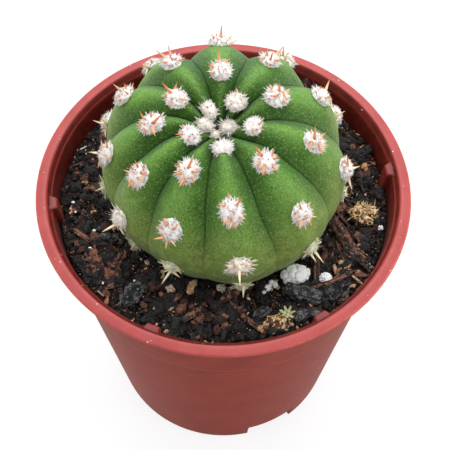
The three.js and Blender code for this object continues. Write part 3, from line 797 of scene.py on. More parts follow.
def skin(angle, azimuth, share, reach):
    """Points of the skin and the directions out of it."""
    step = 1e-3
    radius, height = outline(angle, reach)
    after, before = outline(angle + step, reach), outline(angle - step, reach)
    along = np.stack([after[0] - before[0], after[1] - before[1]], axis=-1)
    normal = np.stack([-along[..., 1], along[..., 0]], axis=-1)
    normal /= np.linalg.norm(normal, axis=-1, keepdims=True)
    lift = -groove_depth(angle, radius) * (1 - np.abs(np.cos(np.pi * share)))
    turn = np.radians(azimuth) + BODY_TWIST * (angle - 1)
    out = radius + normal[..., 0] * lift
    point = np.stack([out * np.cos(turn), out * np.sin(turn),
                      height + normal[..., 1] * lift], axis=-1)
    outward = np.stack([normal[..., 0] * np.cos(turn), normal[..., 0] * np.sin(turn),
                        normal[..., 1]], axis=-1)
    return point @ BODY_TURN.T + BODY_CENTRE, outward @ BODY_TURN.T


def make_body():
    """The ribbed globe: rows from its base to its crown, closer together in the grooves."""
    azimuths, ribs = [], []
    for k, rib in enumerate(RIBS):
        gap = (RIBS[(k + 1) % len(RIBS)][0] - rib[0]) % 360
        for j in range(COLUMNS_PER_RIB):
            off = 2 * j / COLUMNS_PER_RIB - 1
            azimuths.append(rib[0] + gap * (0.5 + 0.5 * math.copysign(abs(off) ** 1.35, off)))
            ribs.append(k)
    azimuths, ribs = np.array(azimuths), np.array(ribs)
    shares, reaches = np.array([between_ribs(a) for a in azimuths]).T
    angles = np.pi * (np.arange(BODY_ROWS, 0, -1) / (BODY_ROWS + 1)) ** 1.12
    angle = angles[:, None] * np.ones(len(azimuths))
    share, reach = shares * np.ones_like(angle), reaches * np.ones_like(angle)
    valley = 1 - np.abs(np.cos(np.pi * share))
    sway = GROOVE_SWAY * np.sin(5.5 * angle + 2.1 * ribs) * smoothstep(angle, 0.4, 1.0)
    points, normals = skin(angle, azimuths + sway * valley, share, reach)
    flat = points.reshape(-1, 3)
    uneven = 0.30 * field_noise(flat, 9.0) + 0.12 * field_noise(flat, 3.2, 5.0)
    uneven += 0.035 * field_noise(flat, 1.1, 2.0)
    flat = flat + normals.reshape(-1, 3) * uneven[:, None]
    poles = [skin(np.array([pole]), np.zeros(1), np.zeros(1), np.full(1, POLE_REACH))[0][0]
             for pole in (math.pi - 2e-3, 2e-3)]
    flat = np.concatenate([flat, poles])
    # Across is the distance from a groove's bottom.
    across = np.abs(share - 0.5) * np.radians(360 / len(RIBS)) * POLE_REACH * np.sin(angle)

    def fade(low, high):
        return smoothstep(angle, math.radians(low), math.radians(high))

    # Fields for the skin: groove and groove_side_shade carry painted shade, crest a painted
    # highlight.
    fields = {
        "groove": smoothstep(across, 0.45, 0.06) * (0.14 + 0.66 * fade(104, 48)) * fade(122, 100),
        "groove_side_shade": smoothstep(across, 5.0, 0.8) * fade(95, 45),
        "crest": smoothstep(valley, 0.35, 0.0),
        "low": fade(38, 92),
        "middle": smoothstep(angle, 0.055, 0.03),
    }
    fields = {name: np.append(values.ravel(), [0, 1 if name == "middle" else 0])
              for name, values in fields.items()}
    columns = len(azimuths)
    faces = [grid_faces(BODY_ROWS, columns), end_caps(BODY_ROWS, columns, len(flat))]
    made = make_object("cactus_skin", flat, faces, SKIN, fields=fields)
    return piece(made, "skin", "cactus_body")


# --- Areoles ---------------------------------------------------------------------
def tapered(roots, ways, lengths, radii, sides=3, steps=3, bends=None, power=1.0):
    """Thin closed cones along curved ways. Returns points, faces and the place along each."""
    count = len(roots)
    helper = np.where(np.abs(ways[:, 2:3]) < 0.9, [[0.0, 0.0, 1.0]], [[1.0, 0.0, 0.0]])
    side = unit(np.cross(ways, helper))
    other = np.cross(ways, side)
    if bends is None:
        bends = np.zeros((count, 3))
    rings = []
    for i in range(steps):
        t = i / steps
        centre = roots + ways * (lengths * t)[:, None] + bends * t * t
        radius = radii * (1 - t) ** power
        for j in range(sides):
            turn = TAU * j / sides
            out = side * math.cos(turn) + other * math.sin(turn)
            rings.append(centre + out * radius[:, None])
    points = np.stack(rings + [roots + ways * lengths[:, None] + bends], axis=1)
    tip = steps * sides
    after = [(j + 1) % sides for j in range(sides)]
    quads = [(i * sides + j, (i + 1) * sides + j, (i + 1) * sides + k, i * sides + k)
             for i in range(steps - 1) for j, k in enumerate(after)]
    ends = [(tip - sides + j, tip, tip - sides + k) for j, k in enumerate(after)]
    shift = (np.arange(count) * (tip + 1))[:, None, None]
    groups = [(np.array(group)[None] + shift).reshape(-1, len(group[0]))
              for group in (quads, ends, [list(range(sides))]) if group]
    along = np.tile(np.append(np.repeat(np.arange(steps) / steps, sides), 1.0), count)
    return points.reshape(-1, 3), groups, along


class Bundle:
    """Gathers points, faces and fields of several shapes for one object."""

    def __init__(self):
        self.points, self.groups, self.fields, self.count = [], {}, {}, 0

    def add(self, points, groups, **fields):
        for group in groups if isinstance(groups, list) else [groups]:
            group = np.asarray(group)
            self.groups.setdefault(group.shape[1], []).append(group + self.count)
        self.points.append(np.asarray(points))
        for name, values in fields.items():
            values = np.broadcast_to(np.asarray(values, dtype=float), (len(points),))
            self.fields.setdefault(name, []).append(values)
        self.count += len(points)

    def make(self, name, material, smooth=True):
        faces = [np.concatenate(self.groups[size]) for size in sorted(self.groups)]
        fields = {key: np.concatenate(values) for key, values in self.fields.items()}
        return make_object(name, np.concatenate(self.points), faces, material, smooth, fields)


def unit(vectors):
    """Vectors of length 1 with the same directions."""
    return vectors / np.linalg.norm(vectors, axis=-1, keepdims=True)


def areole_frame(azimuth, angle):
    """Place on the crest, and the directions across it, towards the crown and outwards."""
    _, reach = between_ribs(azimuth)
    one = np.ones(1)
    point, normal = skin(angle * one, azimuth * one, 0 * one, reach * one)
    nearer, _ = skin((angle - 0.02) * one, azimuth * one, 0 * one, reach * one)
    up = nearer[0] - point[0]
    # Cushions in the crown's pit stand up along the body's axis, not square to its slope.
    steep = float(smoothstep(angle, math.radians(30), math.radians(12)))
    normal = unit(normal[0] * (1 - 0.9 * steep) + np.array(BODY_AXIS) * 0.9 * steep)
    up = unit(up - normal * np.dot(up, normal))
    return point[0], np.stack([np.cross(up, normal), up, normal])


PAD_SPHERE = icosphere(3)


def wool_pad(bundle, local, half, cream, fringe, seed, density=1.0):
    """A cushion of felted wool: a core under many short bristles, tufts round its edge."""
    place, turn = local
    draw = np.random.default_rng(seed)
    points, faces = PAD_SPHERE
    size = half[0]
    lumps = (0.13 * field_noise(points * size, 1.1, seed)
             + 0.12 * field_noise(points * size, 0.5, seed))
    core = half * 0.94
    shaped = points * core
    shaped[:, 2] = np.where(points[:, 2] < 0, shaped[:, 2] * 0.25, shaped[:, 2])
    shaped *= (1 + lumps)[:, None]
    # The field deep paints shade in the core's hollows and darkens its lower side.
    under = smoothstep(-points[:, 1], 0.25, 0.95) * 0.35
    bundle.add(shaped @ turn + place, faces, cream=cream, tint=0.0,
               deep=np.maximum(smoothstep(-lumps, 0.06, 0.2) * 0.5, under))

    def strands(roots, ways, lengths, radii, bend, steps=2):
        bends = draw.normal(size=roots.shape) * bend
        bends[:, 2] = np.abs(bends[:, 2])
        shape, groups, along = tapered(roots @ turn + place, unit(ways) @ turn, lengths, radii,
                                       bends=bends @ turn, steps=steps)
        per = len(along) // len(roots)
        tint = np.repeat(draw.uniform(0, 1, len(roots)), per)
        low = smoothstep(-roots[:, 1] / half[1], 0.35, 1.0) * draw.uniform(0, 0.9, len(roots))
        # The field deep paints shade at each strand's root, and darkens some strands on the lower
        # side.
        bundle.add(shape, groups, cream=cream, tint=tint,
                   deep=np.maximum(0.25 * (1 - along), np.repeat(low, per)))

    # Felt: short bristles all over the core.
    count = int(80 * density * half[0] * half[1])
    ways = unit(draw.normal(size=(count, 3)))
    ways[:, 2] = np.abs(ways[:, 2])
    lean = unit(ways * [1, 1, 1.2]) + draw.normal(size=(count, 3)) * 0.5
    lean[:, 2] = np.maximum(lean[:, 2], 0.02)
    strands(ways * core * 0.94, lean, draw.uniform(0.3, 0.85, count) * (0.6 + 0.16 * size),
            draw.uniform(0.065, 0.12, count), 0.10)

    # Tufts of four strands round the edge.
    tufts = int(round(10 * size))
    spin = (np.arange(tufts) + draw.uniform(-0.4, 0.4, tufts)) * TAU / tufts
    spin, reach = np.repeat(spin, 4), np.repeat(draw.uniform(0.45, 1.6, tufts), 4)
    rise = np.repeat(draw.uniform(0.02, 0.6, tufts), 4)
    out = np.stack([np.cos(spin), np.sin(spin), 0 * spin], axis=1)
    roots = out * half * 0.84 + draw.normal(size=out.shape) * [0.2, 0.2, 0.06]
    roots[:, 2] = np.abs(roots[:, 2]) + rise * half[2] * 0.7
    tips = out * (half + fringe * reach[:, None] * [1, 1, 0]) + [0, 0, 0.12]
    tips[:, 2] += rise * (half[2] * 0.8 + 0.3)
    tips += draw.normal(size=tips.shape) * 0.13
    ways = tips - roots
    strands(roots, ways, np.linalg.norm(ways, axis=1), draw.uniform(0.09, 0.15, len(spin)), 0.05)

    # A few long stray hairs.
    stray = int(3 * size)
    spin = draw.uniform(0, TAU, stray)
    out = np.stack([np.cos(spin), np.sin(spin), draw.uniform(0.1, 0.9, stray)], axis=1)
    strands(unit(out) * half * 0.85, out, draw.uniform(1.0, 1.7, stray) * fringe + 0.6,
            np.full(stray, 0.05), 0.5, steps=5)


def cones(bundle, roots, tips, radii, pale, bend=0.0, dark=0.0, draw=None):
    """Stout spines from roots to tips; dark shifts each one's colour towards its tip's."""
    roots, tips = np.array(roots), np.array(tips)
    ways = tips - roots
    lengths = np.linalg.norm(ways, axis=1)
    bends = draw.normal(size=roots.shape) * bend if draw is not None else None
    points, groups, along = tapered(roots, unit(ways), lengths, np.array(radii), sides=9, steps=7,
                                    bends=bends, power=0.8)
    per = len(along) // len(lengths)
    each = np.ones(len(lengths))
    bundle.add(points, groups, along=np.maximum(along, np.repeat(dark * each, per)),
               pale=np.repeat(pale * each, per))


def loose_spines(bundle, local, half, ring, length, old, draw):
    """A few stout cones round a cushion and one in its middle, for places that aren't seen."""
    place, turn = local
    roots, tips, radii = [], [], []
    first = draw.uniform(0, TAU)
    for i in range(ring + 1):
        middle = i == ring
        spin = first + TAU * (i + draw.uniform(-0.35, 0.35)) / ring
        out = np.array([math.cos(spin), math.sin(spin), 0])
        lean = math.radians(draw.uniform(8, 30) if middle else draw.uniform(30, 68))
        long = length * draw.uniform(0.7, 1.2)
        root = out * half * (0.2 if middle else draw.uniform(0.42, 0.75)) + [0, 0, half[2] * 0.55]
        roots.append(root @ turn + place)
        tips.append((root + (out * math.sin(lean) + [0, 0, math.cos(lean)]) * long) @ turn + place)
        radii.append(0.17 + 0.10 * long)
    cones(bundle, roots, tips, radii, 1.0 if old else 0.1, 0.14, 0.0, draw)


def spine_buds(bundle, local, half, count, draw):
    """The brown tips of new spines, as dots in the wool."""
    place, turn = local
    out = unit(draw.normal(size=(count, 3)))
    out[:, 2] = np.abs(out[:, 2]) + 0.25
    out = unit(out)
    roots = (out * half * 0.93) @ turn + place
    tips = (out * half + out * draw.uniform(0.35, 0.7, (count, 1))) @ turn + place
    cones(bundle, roots, tips, draw.uniform(0.13, 0.22, count), 0.0, 0.0,
          draw.uniform(0.55, 0.95, count))


def pixel_way(px, py):
    """The way from the camera through a point of the photograph, in pixels."""
    half = PHOTO / 2
    return CAMERA_TURN @ Vector(((px - half) / PHOTO * SENSOR / CAMERA_LENS,
                                 (half - py) / PHOTO * SENSOR / CAMERA_LENS, -1))


def sight(px, py):
    """The same, of unit length and through the middle of a pixel."""
    return np.array(pixel_way(px + 0.5, py + 0.5).normalized())


def seen_on_cushion(px, py, local, half):
    """The place on a cushion that shows at a pixel, or the place nearest to it."""
    place, turn = local
    start = (turn @ (np.array(CAMERA_PLACE) - place)) / half
    way = (turn @ sight(px, py)) / half
    middle = start @ way
    under = middle ** 2 - (way @ way) * (start @ start - 1)
    spot = start + way * (-middle - math.sqrt(max(under, 0))) / (way @ way)
    spot[2] = max(spot[2], 0.05)
    return (spot / max(np.linalg.norm(spot), 1.0) * half) @ turn + place


def seen_spines(bundle, local, half, marks):
    """Spines whose roots and tips show at given pixels; they lean out from the cushion."""
    place, turn = local
    eye = np.array(CAMERA_PLACE)
    roots, tips, radii, darks = [], [], [], []
    for x0, y0, x1, y1, _ in marks:
        root = seen_on_cushion(x0, y0, local, half)
        out = unit(root - place + turn[2] * 0.5)
        back = -sight(x0, y0)
        way = sight(x1, y1)
        flat = eye + way * (((root - eye) @ back) / (way @ back)) - root
        long = float(np.linalg.norm(flat))
        # A bud shows as a dot and stands up; a spine leans as the cushion does there.
        bud = long <= BUD_LENGTH
        rise = float(out @ back)
        across = float(np.linalg.norm(out - back * rise))
        rise = 1.2 if bud else min(max(long * rise / max(across, 0.4), 0.1), 1.5)
        tip = root + flat + back * rise
        roots.append(root - unit(tip - root) * 0.5)
        tips.append(tip)
        radii.append(min(0.17 + 0.11 * long, 0.48))
        darks.append(0.55 if bud else 0.0)
    cones(bundle, roots, tips, radii, np.array([mark[4] for mark in marks]), 0.0, np.array(darks))


# Spines that the photograph shows, by rib and count: root, tip, in its pixels, and paleness.
SPINES = {
    (1, 1): ((217, 153, 217, 154, 0.2), (225, 152, 226, 153, 0.3)),
    (1, 2): ((229, 197, 226.5, 190.5, 0.2), (237, 203.5, 242, 196.5, 0), (224, 205, 216, 204, 0.1),
             (229, 219.5, 221, 222.5, 0.1), (240, 218, 246.5, 218.5, 0.3),
             (231, 222, 228.5, 230, 0.3), (236, 223, 235, 229, 0.3), (233, 212, 235, 212, 0)),
    (1, 3): ((238.5, 271, 239.8, 287, 1), (241, 264, 245, 263, 0.5), (232, 266, 224, 265, 0.9),
             (247, 266, 252, 263, 0.9), (234, 265, 234, 266, 0), (238, 269, 238, 270, 0)),
    (1, 4): ((242.8, 286, 242.8, 298.5, 1), (247, 284, 253, 280, 0.9), (239, 284, 230, 282, 0.9)),
    (2, 1): ((261, 154.5, 254, 144, 0), (271.5, 154, 274, 147, 0.1), (273.5, 158, 280.5, 156.5, 0),
             (259, 162.5, 253, 166, 0.1), (264, 166, 261.5, 176, 0.1), (273, 166, 278, 172.5, 0.1),
             (265, 164, 265, 165, 0)),
    (2, 2): ((300, 207, 299, 202, 0), (304, 215.5, 308, 214, 0.4), (298, 216.5, 293, 219, 0.1),
             (301.5, 221, 298, 229.5, 0.3), (310, 222, 312, 227, 0.1),
             (312, 216, 317.5, 216.5, 0.7), (309, 205, 311, 202, 0.1), (297, 212, 297, 213, 0),
             (307, 222, 307, 223, 0)),
    (2, 3): ((315, 252, 324, 263.5, 1), (310, 256, 316.5, 262.5, 1), (305, 254, 301, 258, 0.9),
             (305, 251, 299, 252, 0.9), (316, 241, 317, 234, 0.9)),
    (3, 1): ((259, 123.5, 263.5, 119, 0.3), (261, 130, 263.5, 128, 0.3), (252, 128, 252, 129, 0)),
    (3, 2): ((314, 137, 315, 123.5, 0), (322, 135, 326.5, 131.5, 0.2), (324, 145, 330, 145, 0.3),
             (319, 146, 323.5, 154, 0.1), (311, 143, 306, 149, 0.1), (310, 141, 310, 142, 0),
             (317.5, 144, 317.5, 145, 0)),
    (3, 3): ((347, 164, 347.5, 155, 0.1), (352, 168, 360, 165.5, 1), (347, 165, 343, 167.5, 0.1),
             (349, 180, 351.5, 190, 1)),
    (4, 1): ((279, 90, 279, 80.5, 0), (271, 88.5, 267.5, 85, 0), (286, 91, 291.5, 89.5, 0.1),
             (276, 95, 268.5, 96, 0), (283, 93, 286.5, 99.5, 0), (284.5, 101, 284.5, 102, 0)),
    (4, 2): ((325, 90, 329.3, 78.5, 0.7), (320, 97, 322, 96, 0.2), (325, 97.5, 330.5, 96, 0.3),
             (329, 99, 332.5, 104, 0.3), (319.5, 88, 321, 84.5, 0)),
    (4, 3): ((335, 115.5, 345, 110.5, 1), (336, 119, 335, 124, 0.8)),
    (5, 1): ((236.5, 90, 235, 86, 0.1), (235, 94, 235, 95, 0), (237, 102, 237, 103, 0.1)),
    (5, 2): ((270, 58.5, 272.5, 51.5, 0), (267, 54.5, 266, 46.5, 0.3), (276, 53.5, 284, 45, 0.4),
             (262, 58.5, 255.5, 56.5, 0.1), (275, 60, 282.5, 59, 0.3), (270, 64, 272, 64, 0)),
    (5, 3): ((283, 55, 283, 46, 0.3), (285, 58, 288, 51, 0.8), (289, 62, 291, 70, 0.9)),
    (6, 1): ((218, 56, 217.5, 48, 0.1), (224, 61, 231.5, 58, 0.1), (212, 66, 206.5, 61.5, 0),
             (213.5, 71.5, 205, 71, 0.5), (218, 68, 218, 69, 0), (221.5, 66, 221.5, 67, 0),
             (225.5, 73, 225.5, 74, 0), (217.5, 77, 217.5, 78, 0)),
    (6, 2): ((220.5, 36, 221, 24, 0.25), (214, 37, 210.5, 34, 0.1), (229, 38, 232, 35, 0.2),
             (234, 44, 237.5, 39, 0.8), (216.5, 38, 216.5, 39, 0), (226.5, 40.5, 226.5, 41.5, 0)),
    (7, 1): ((205, 99, 200, 93.5, 0.2), (211, 105, 211, 106, 0)),
    (7, 2): ((163.5, 55.5, 155, 49.5, 0.3), (169.5, 52, 167.5, 44, 0.2),
             (171.5, 58.5, 168.5, 53.5, 0), (180, 60.5, 184.5, 56, 0.1), (165, 62, 161, 62, 0),
             (169.5, 65, 170, 66, 0)),
    (7, 3): ((148, 66.5, 140, 63, 0.7), (151.5, 62, 149.5, 57.5, 0.3), (148, 70, 144.5, 76, 0.9)),
    (8, 1): ((169.5, 91.5, 160.5, 81, 0), (174, 87, 176.5, 81.5, 0), (166, 95, 160.5, 96, 0),
             (180.5, 98.5, 188.5, 99.5, 0.3), (169.5, 102, 169, 106, 0.1),
             (171, 99, 171.5, 99, 0.4)),
    (8, 2): ((121, 90.5, 112, 83, 0.5), (125.5, 87.5, 123.5, 82, 0.1), (132, 87, 133, 81.5, 0.4),
             (119.5, 99, 114, 101, 0.2), (127, 93, 123, 90, 0), (136.5, 91, 133.5, 89.5, 0),
             (128, 98.5, 128, 99, 0)),
    (8, 3): ((105, 124.5, 91.5, 119.5, 1), (107, 123.5, 99.5, 117, 0.5),
             (105.5, 130, 105, 138, 0.8)),
    (9, 1): ((143, 118, 139, 110.5, 0), (150.5, 116, 150, 111, 0), (153.5, 121.5, 162.5, 112.5, 0),
             (140, 123.5, 134, 126, 0), (151, 127.5, 155.5, 137, 0.2), (143.5, 129, 143, 134.5, 0),
             (144, 124.5, 144.5, 125, 0)),
    (9, 2): ((101.5, 146.5, 100.5, 138, 0.4), (107, 146.5, 105, 139, 0.1),
             (96, 152.5, 87.5, 151.5, 0.9), (99, 161, 97, 168.5, 0.2), (106, 156, 109, 160.5, 0.1),
             (102, 157.5, 102, 158.5, 0)),
    (9, 3): ((108, 185, 97, 182, 1), (105, 187, 94, 190.5, 1)),
    (10, 1): ((183, 127.5, 179, 124, 0.1), (181.5, 133.5, 174, 134, 0),
              (189.5, 136, 190, 137, 0.1)),
    (10, 2): ((137, 165.5, 134, 159, 0), (132, 168.5, 130, 163, 0), (142.5, 166.5, 145, 161.5, 0.1),
              (127.5, 171.5, 122, 169, 0.2), (142, 173, 149, 175.5, 0), (138.5, 178, 145, 183, 0.1),
              (131, 180, 126.5, 187.5, 0), (134, 183, 134.5, 189, 0.2), (140.5, 171, 141, 171, 0)),
    (10, 3): ((112, 227, 100.5, 232, 1), (119, 230, 124.5, 235.5, 0.8),
              (113, 219.5, 108.5, 218.5, 0.9), (115.5, 212.5, 116, 213, 0),
              (122, 223, 122, 224, 0.3)),
    (10, 4): ((136, 242, 129.5, 249.5, 1),),
    (11, 1): ((188.5, 166, 192.5, 156, 0), (179.5, 166, 172.5, 164, 0),
              (179.5, 173, 171.5, 173.5, 0), (193, 171.5, 200, 171, 0), (183, 179, 178, 187.5, 0.1),
              (192, 178, 194.5, 183, 0), (187, 176, 187, 177, 0)),
    (11, 2): ((166, 224, 161, 217, 0.1), (162, 228, 156, 225, 0), (174, 228, 178.5, 224, 0),
              (163, 237, 151.5, 239, 0.3), (165.5, 243, 165, 250, 0.4), (171, 240, 176, 247, 0.6),
              (167, 237, 167, 238, 0), (172.5, 232, 173, 233, 0)),
    (11, 3): ((168.5, 275, 160, 285, 1), (165, 267, 160, 258, 0.9), (176, 268, 181, 272.5, 0.9),
              (174, 266, 180, 268, 0.9), (173, 274, 180, 277.5, 0.9), (167, 270, 162, 272, 1)),
}


def make_areoles():
    """Cushions along the ribs, each with its spines; a rib's spines are one piece."""
    for k, (azimuth, _, first, step) in enumerate(RIBS):
        spines = Bundle()
        count, at = 0, first
        while at <= LAST_AREOLE:
            count += 1
            old = at > OLD_AREOLE
            grown = min(1.0, YOUNGEST_SHARE + (1 - YOUNGEST_SHARE) * at / GROWN_AT)
            wide, long, cream = CUSHIONS.get((k + 1, count), USUAL_CUSHION)
            core, high = OLD_CUSHION if old else YOUNG_CUSHION
            half = np.array([core * grown * wide, core * grown * long, high * grown])
            local = areole_frame(azimuth, math.radians(at))
            seed = 20 * k + count
            fringe = 1.4 if old or cream > 0.6 else 0.7
            tuft = Bundle()
            wool_pad(tuft, local, half, cream, fringe, seed)
            name = f"{k + 1:02d}_{count}"
            made = tuft.make(f"wool_{name}", OLD_WOOL if old else WOOL)
            piece(made, "old_wool" if old else "wool", f"areole_{name}")
            draw = np.random.default_rng(500 + seed)
            if (k + 1, count) in SPINES:
                seen_spines(spines, local, half, SPINES[k + 1, count])
            else:
                length = 2.2 if old else 1.4 + 1.9 * float(smoothstep(at, 8, 40))
                loose_spines(spines, local, half, 2 if at < 16 else 5, length, old, draw)
            # Young cushions have buds, apart from one that shows none.
            if not old and (k + 1, count) != (1, 1):
                spine_buds(spines, local, half, 4 if at < 20 else 12, draw)
            at += step
        piece(spines.make(f"spines_{k + 1:02d}", SPINE), "spine")


def make_crown_tufts():
    """Three tufts of young wool without spines, in the crown's pit."""
    for name, azimuth, at, size, *nodes in (("right", 10, 3.2, 1.0, "crown_tuft_right"),
                                            ("left", 176, 6.0, 1.0, "crown_tuft_left"),
                                            ("middle", 238, 3.4, 0.52)):
        local = areole_frame(azimuth, math.radians(at))
        tuft = Bundle()
        wool_pad(tuft, local, CROWN_TUFT * size, 0.5, 1.1 * size, int(at), 1.3)
        piece(tuft.make(f"crown_wool_{name}", WOOL), "wool", *nodes)


# --- Soil ----------------------------------------------------------------------
def terrain(x, y):
    """The soil's mean height: gentle waves, and a bank that rises towards the wall."""
    swell = 0.35 * np.sin(0.23 * x + 1.1) * np.cos(0.2 * y - 0.4)
    cross = 0.3 * np.sin(0.17 * x - 0.26 * y)
    bank = SOIL_BANK * smoothstep(np.hypot(x, y), BANK_FROM, BANK_TO)
    return SOIL_LEVEL + bank + swell + cross


def body_tree(body):
    """A search tree of the globe's surface, in millimetres."""
    mesh = body.data
    points = [v.co / MM for v in mesh.vertices]
    return BVHTree.FromPolygons(points, [tuple(p.vertices) for p in mesh.polygons])


def soil_height(x, y, tree):
    """Rough ground, kept just under the plant where it lies over it."""
    flat = np.stack([x, y, np.zeros_like(x)], axis=1)
    rough = 0.8 * rough_noise(flat, 4.0, 5) + 0.4 * rough_noise(flat, 1.1, 4, 3.0)
    height = terrain(x, y) + rough - 0.3
    for i, (px, py) in enumerate(zip(x.tolist(), y.tolist())):
        hit = tree.ray_cast(Vector((px, py, 40.0)), UP, 70.0)[0]
        if hit is not None:
            height[i] = min(height[i], hit.z - UNDER_PLANT_GAP)
    return height


def make_soil(tree):
    """The plug of soil, from the pot's floor to its rough top."""
    columns, limit = 420, wall_inside(SOIL_LEVEL) - SOIL_GAP
    radii = np.concatenate([[12, 18], np.linspace(22, limit, 66)])
    angle = np.arange(columns) * TAU / columns
    rows = []
    base = FLOOR_Z + FLOOR + 0.3
    for z in (base, base + 1, 40, 74.5, 84):
        radius = wall_inside(z) - SOIL_GAP
        rows.append(np.stack([radius * np.cos(angle), radius * np.sin(angle),
                              np.full(columns, z)], axis=1))
    lug = lug_share(np.degrees(angle))
    for radius in radii[::-1]:
        out = radius - lug * (LUG_REACH + 0.2) * max(radius - 40, 0) / (limit - 40)
        x, y = out * np.cos(angle), out * np.sin(angle)
        rows.append(np.stack([x, y, soil_height(x, y, tree)], axis=1))
    points = np.concatenate(rows + [[[0, 0, base]], [[0, 0, 78.0]]])
    faces = [grid_faces(len(rows), columns), end_caps(len(rows), columns, len(points))]
    piece(make_object("potting_soil", points, faces, SOIL), "soil", "soil")


def crumb_places(count, low, high, tree):
    """Random places on the open soil with sizes, none inside the plant, a lug or the wall."""
    places = []
    while len(places) < count:
        size = float(rng.uniform(0, 1) ** 1.8 * (high - low) + low)
        radius = math.sqrt(rng.uniform(OPEN_SOIL[0] ** 2, OPEN_SOIL[1] ** 2))
        turn = rng.uniform(0, TAU)
        x, y = radius * math.cos(turn), radius * math.sin(turn)
        z = float(terrain(x, y))
        at_lug = lug_share(np.array([math.degrees(turn)]))[0] > 0
        distance = tree.find_nearest(Vector((x, y, z + size * 0.4)))[3]
        over = tree.ray_cast(Vector((x, y, z + size)), UP, 60.0)[0]
        if not (radius + size > wall_inside(z) - 0.2
                or (at_lug and radius + size > LUG_CLEAR_RADIUS)
                or distance < size * 0.9 + 0.15
                or (over is not None and radius < UNDER_PLANT_RADIUS)):
            places.append((x, y, z, size))
    return np.array(places)


def random_turns(count, tilt=None):
    """Rotation matrices: any way up, or turned about Z and tilted up to an angle."""
    if tilt is not None:
        angles = zip(rng.uniform(0, TAU, count), rng.uniform(-tilt, tilt, count),
                     rng.uniform(-tilt, tilt, count))
        return np.array([np.array(Matrix.Rotation(a, 3, "Z") @ Matrix.Rotation(b, 3, "Y")
                                  @ Matrix.Rotation(c, 3, "X")) for a, b, c in angles])
    w, x, y, z = unit(rng.normal(size=(count, 4))).T
    return np.stack([
        np.stack([1 - 2 * (y * y + z * z), 2 * (x * y - w * z), 2 * (x * z + w * y)], axis=1),
        np.stack([2 * (x * y + w * z), 1 - 2 * (x * x + z * z), 2 * (y * z - w * x)], axis=1),
        np.stack([2 * (x * z - w * y), 2 * (y * z + w * x), 1 - 2 * (x * x + y * y)], axis=1),
    ], axis=1)


# Count, least and greatest size, fineness, proportions, tilt of what lies flat, and tint bias.
CRUMB_SORTS = (
    (3600, 0.25, 0.8, 0, (1, 0.8, 0.65), None, 1.25),
    (2300, 0.15, 0.32, 0, (1, 0.85, 0.7), None, 0.10),
    (560, 0.8, 1.6, 2, (1, 0.78, 0.6), None, 1.6),
    (110, 1.6, 2.7, 3, (1, 0.75, 0.5), 0.5, 2.0),
    (380, 0.9, 3.0, 2, (1, 0.42, 0.2), 0.5, 1.15),
    (520, 0.7, 2.4, 1, (1, 0.15, 0.11), 0.4, 0.9),
)
CRUMB_FORMS = 40


def make_crumbs(tree):
    """Thousands of crumbs of peat, chips and straws, one object for each sort."""
    for number, (count, low, high, level, squash, tilt, bias) in enumerate(CRUMB_SORTS):
        bundle = Bundle()
        places = crumb_places(count, low, high, tree)
        points, faces = icosphere(level)
        jitter = 0.3 if level < 2 else 0.14
        shape = points[None] * (1 + rng.uniform(-jitter, jitter, (count, len(points), 1)))
        if level > 1:
            swell = np.stack([field_noise(points * 1.6, 1.0, 7.3 * i) for i in range(CRUMB_FORMS)])
            picked = rng.integers(0, CRUMB_FORMS, count)
            shape = shape * (1 + 0.32 * swell[picked][:, :, None])
        scale = np.array(squash) * rng.uniform(0.75, 1.2, (count, 3))
        shape = shape * scale[:, None, :] * places[:, 3][:, None, None]
        shape = np.einsum("nij,npj->npi", random_turns(count, tilt), shape)
        centre = places[:, :3].copy()
        centre[:, 2] += places[:, 3] * 0.22
        shift = (np.arange(count) * len(points))[:, None, None]
        tint = np.repeat(rng.uniform(0, 1, count) ** bias, len(points))
        bundle.add((shape + centre[:, None, :]).reshape(-1, 3),
                   (faces[None] + shift).reshape(-1, 3), tint=tint)
        piece(bundle.make(f"soil_crumbs_{number + 1}", CRUMBS, smooth=False), "soil")


# --- What lies on the soil -------------------------------------------------------
def seen_at(px, py):
    """The place on the soil that shows at a point of the photograph."""
    way = pixel_way(px, py)
    z = SOIL_LEVEL + SOIL_BANK
    for _ in range(4):
        reach = (z - CAMERA_PLACE.z) / way.z
        x, y = CAMERA_PLACE.x + way.x * reach, CAMERA_PLACE.y + way.y * reach
        z = float(terrain(x, y))
    return x, y


def turned(points, heading, tilt=0.0, roll=0.0):
    """Rolls points about X, tilts them upwards along X, then turns them about Z, in degrees."""
    turn = (Matrix.Rotation(math.radians(heading), 3, "Z")
            @ Matrix.Rotation(math.radians(-tilt), 3, "Y")
            @ Matrix.Rotation(math.radians(roll), 3, "X"))
    return points @ np.array(turn).T


def laid(points, x, y, sink=0.3, lift=0.0):
    """Moves a shape so that it lies on the soil, a little way into it."""
    low, high = points[:, 2].min(), points[:, 2].max()
    return points + [x, y, float(terrain(x, y)) - low - sink * (high - low) + lift]


def stone_shape(half, seed, rough=0.2, size=1.2, level=4):
    """A lump, with its faces and a field that is high in its hollows."""
    points, faces = icosphere(level)
    reach = max(half)
    bump = rough * field_noise(points * reach, size, seed)
    bump += 0.5 * rough * field_noise(points * reach, size * 0.4, seed + 9)
    return points * (1 + bump)[:, None] * np.array(half), faces, smoothstep(-bump, 0.1, 0.5) * rough


def lobed_shape(half, seed, lobe=1.3, level=5):
    """A popped grain: rounded lobes with deep creases between them."""
    points, faces = icosphere(level)
    spots = points * half + seed
    swell = np.abs(field_noise(spots, lobe))
    crumpled = 0.05 * field_noise(spots, 0.45) + 0.18 * field_noise(spots, 2.6, 4.0)
    grown = 0.78 + 0.30 * (1 - np.exp(-swell / 0.10)) + crumpled
    return points * grown[:, None] * np.array(half), faces, smoothstep(swell, 0.05, 0.0)


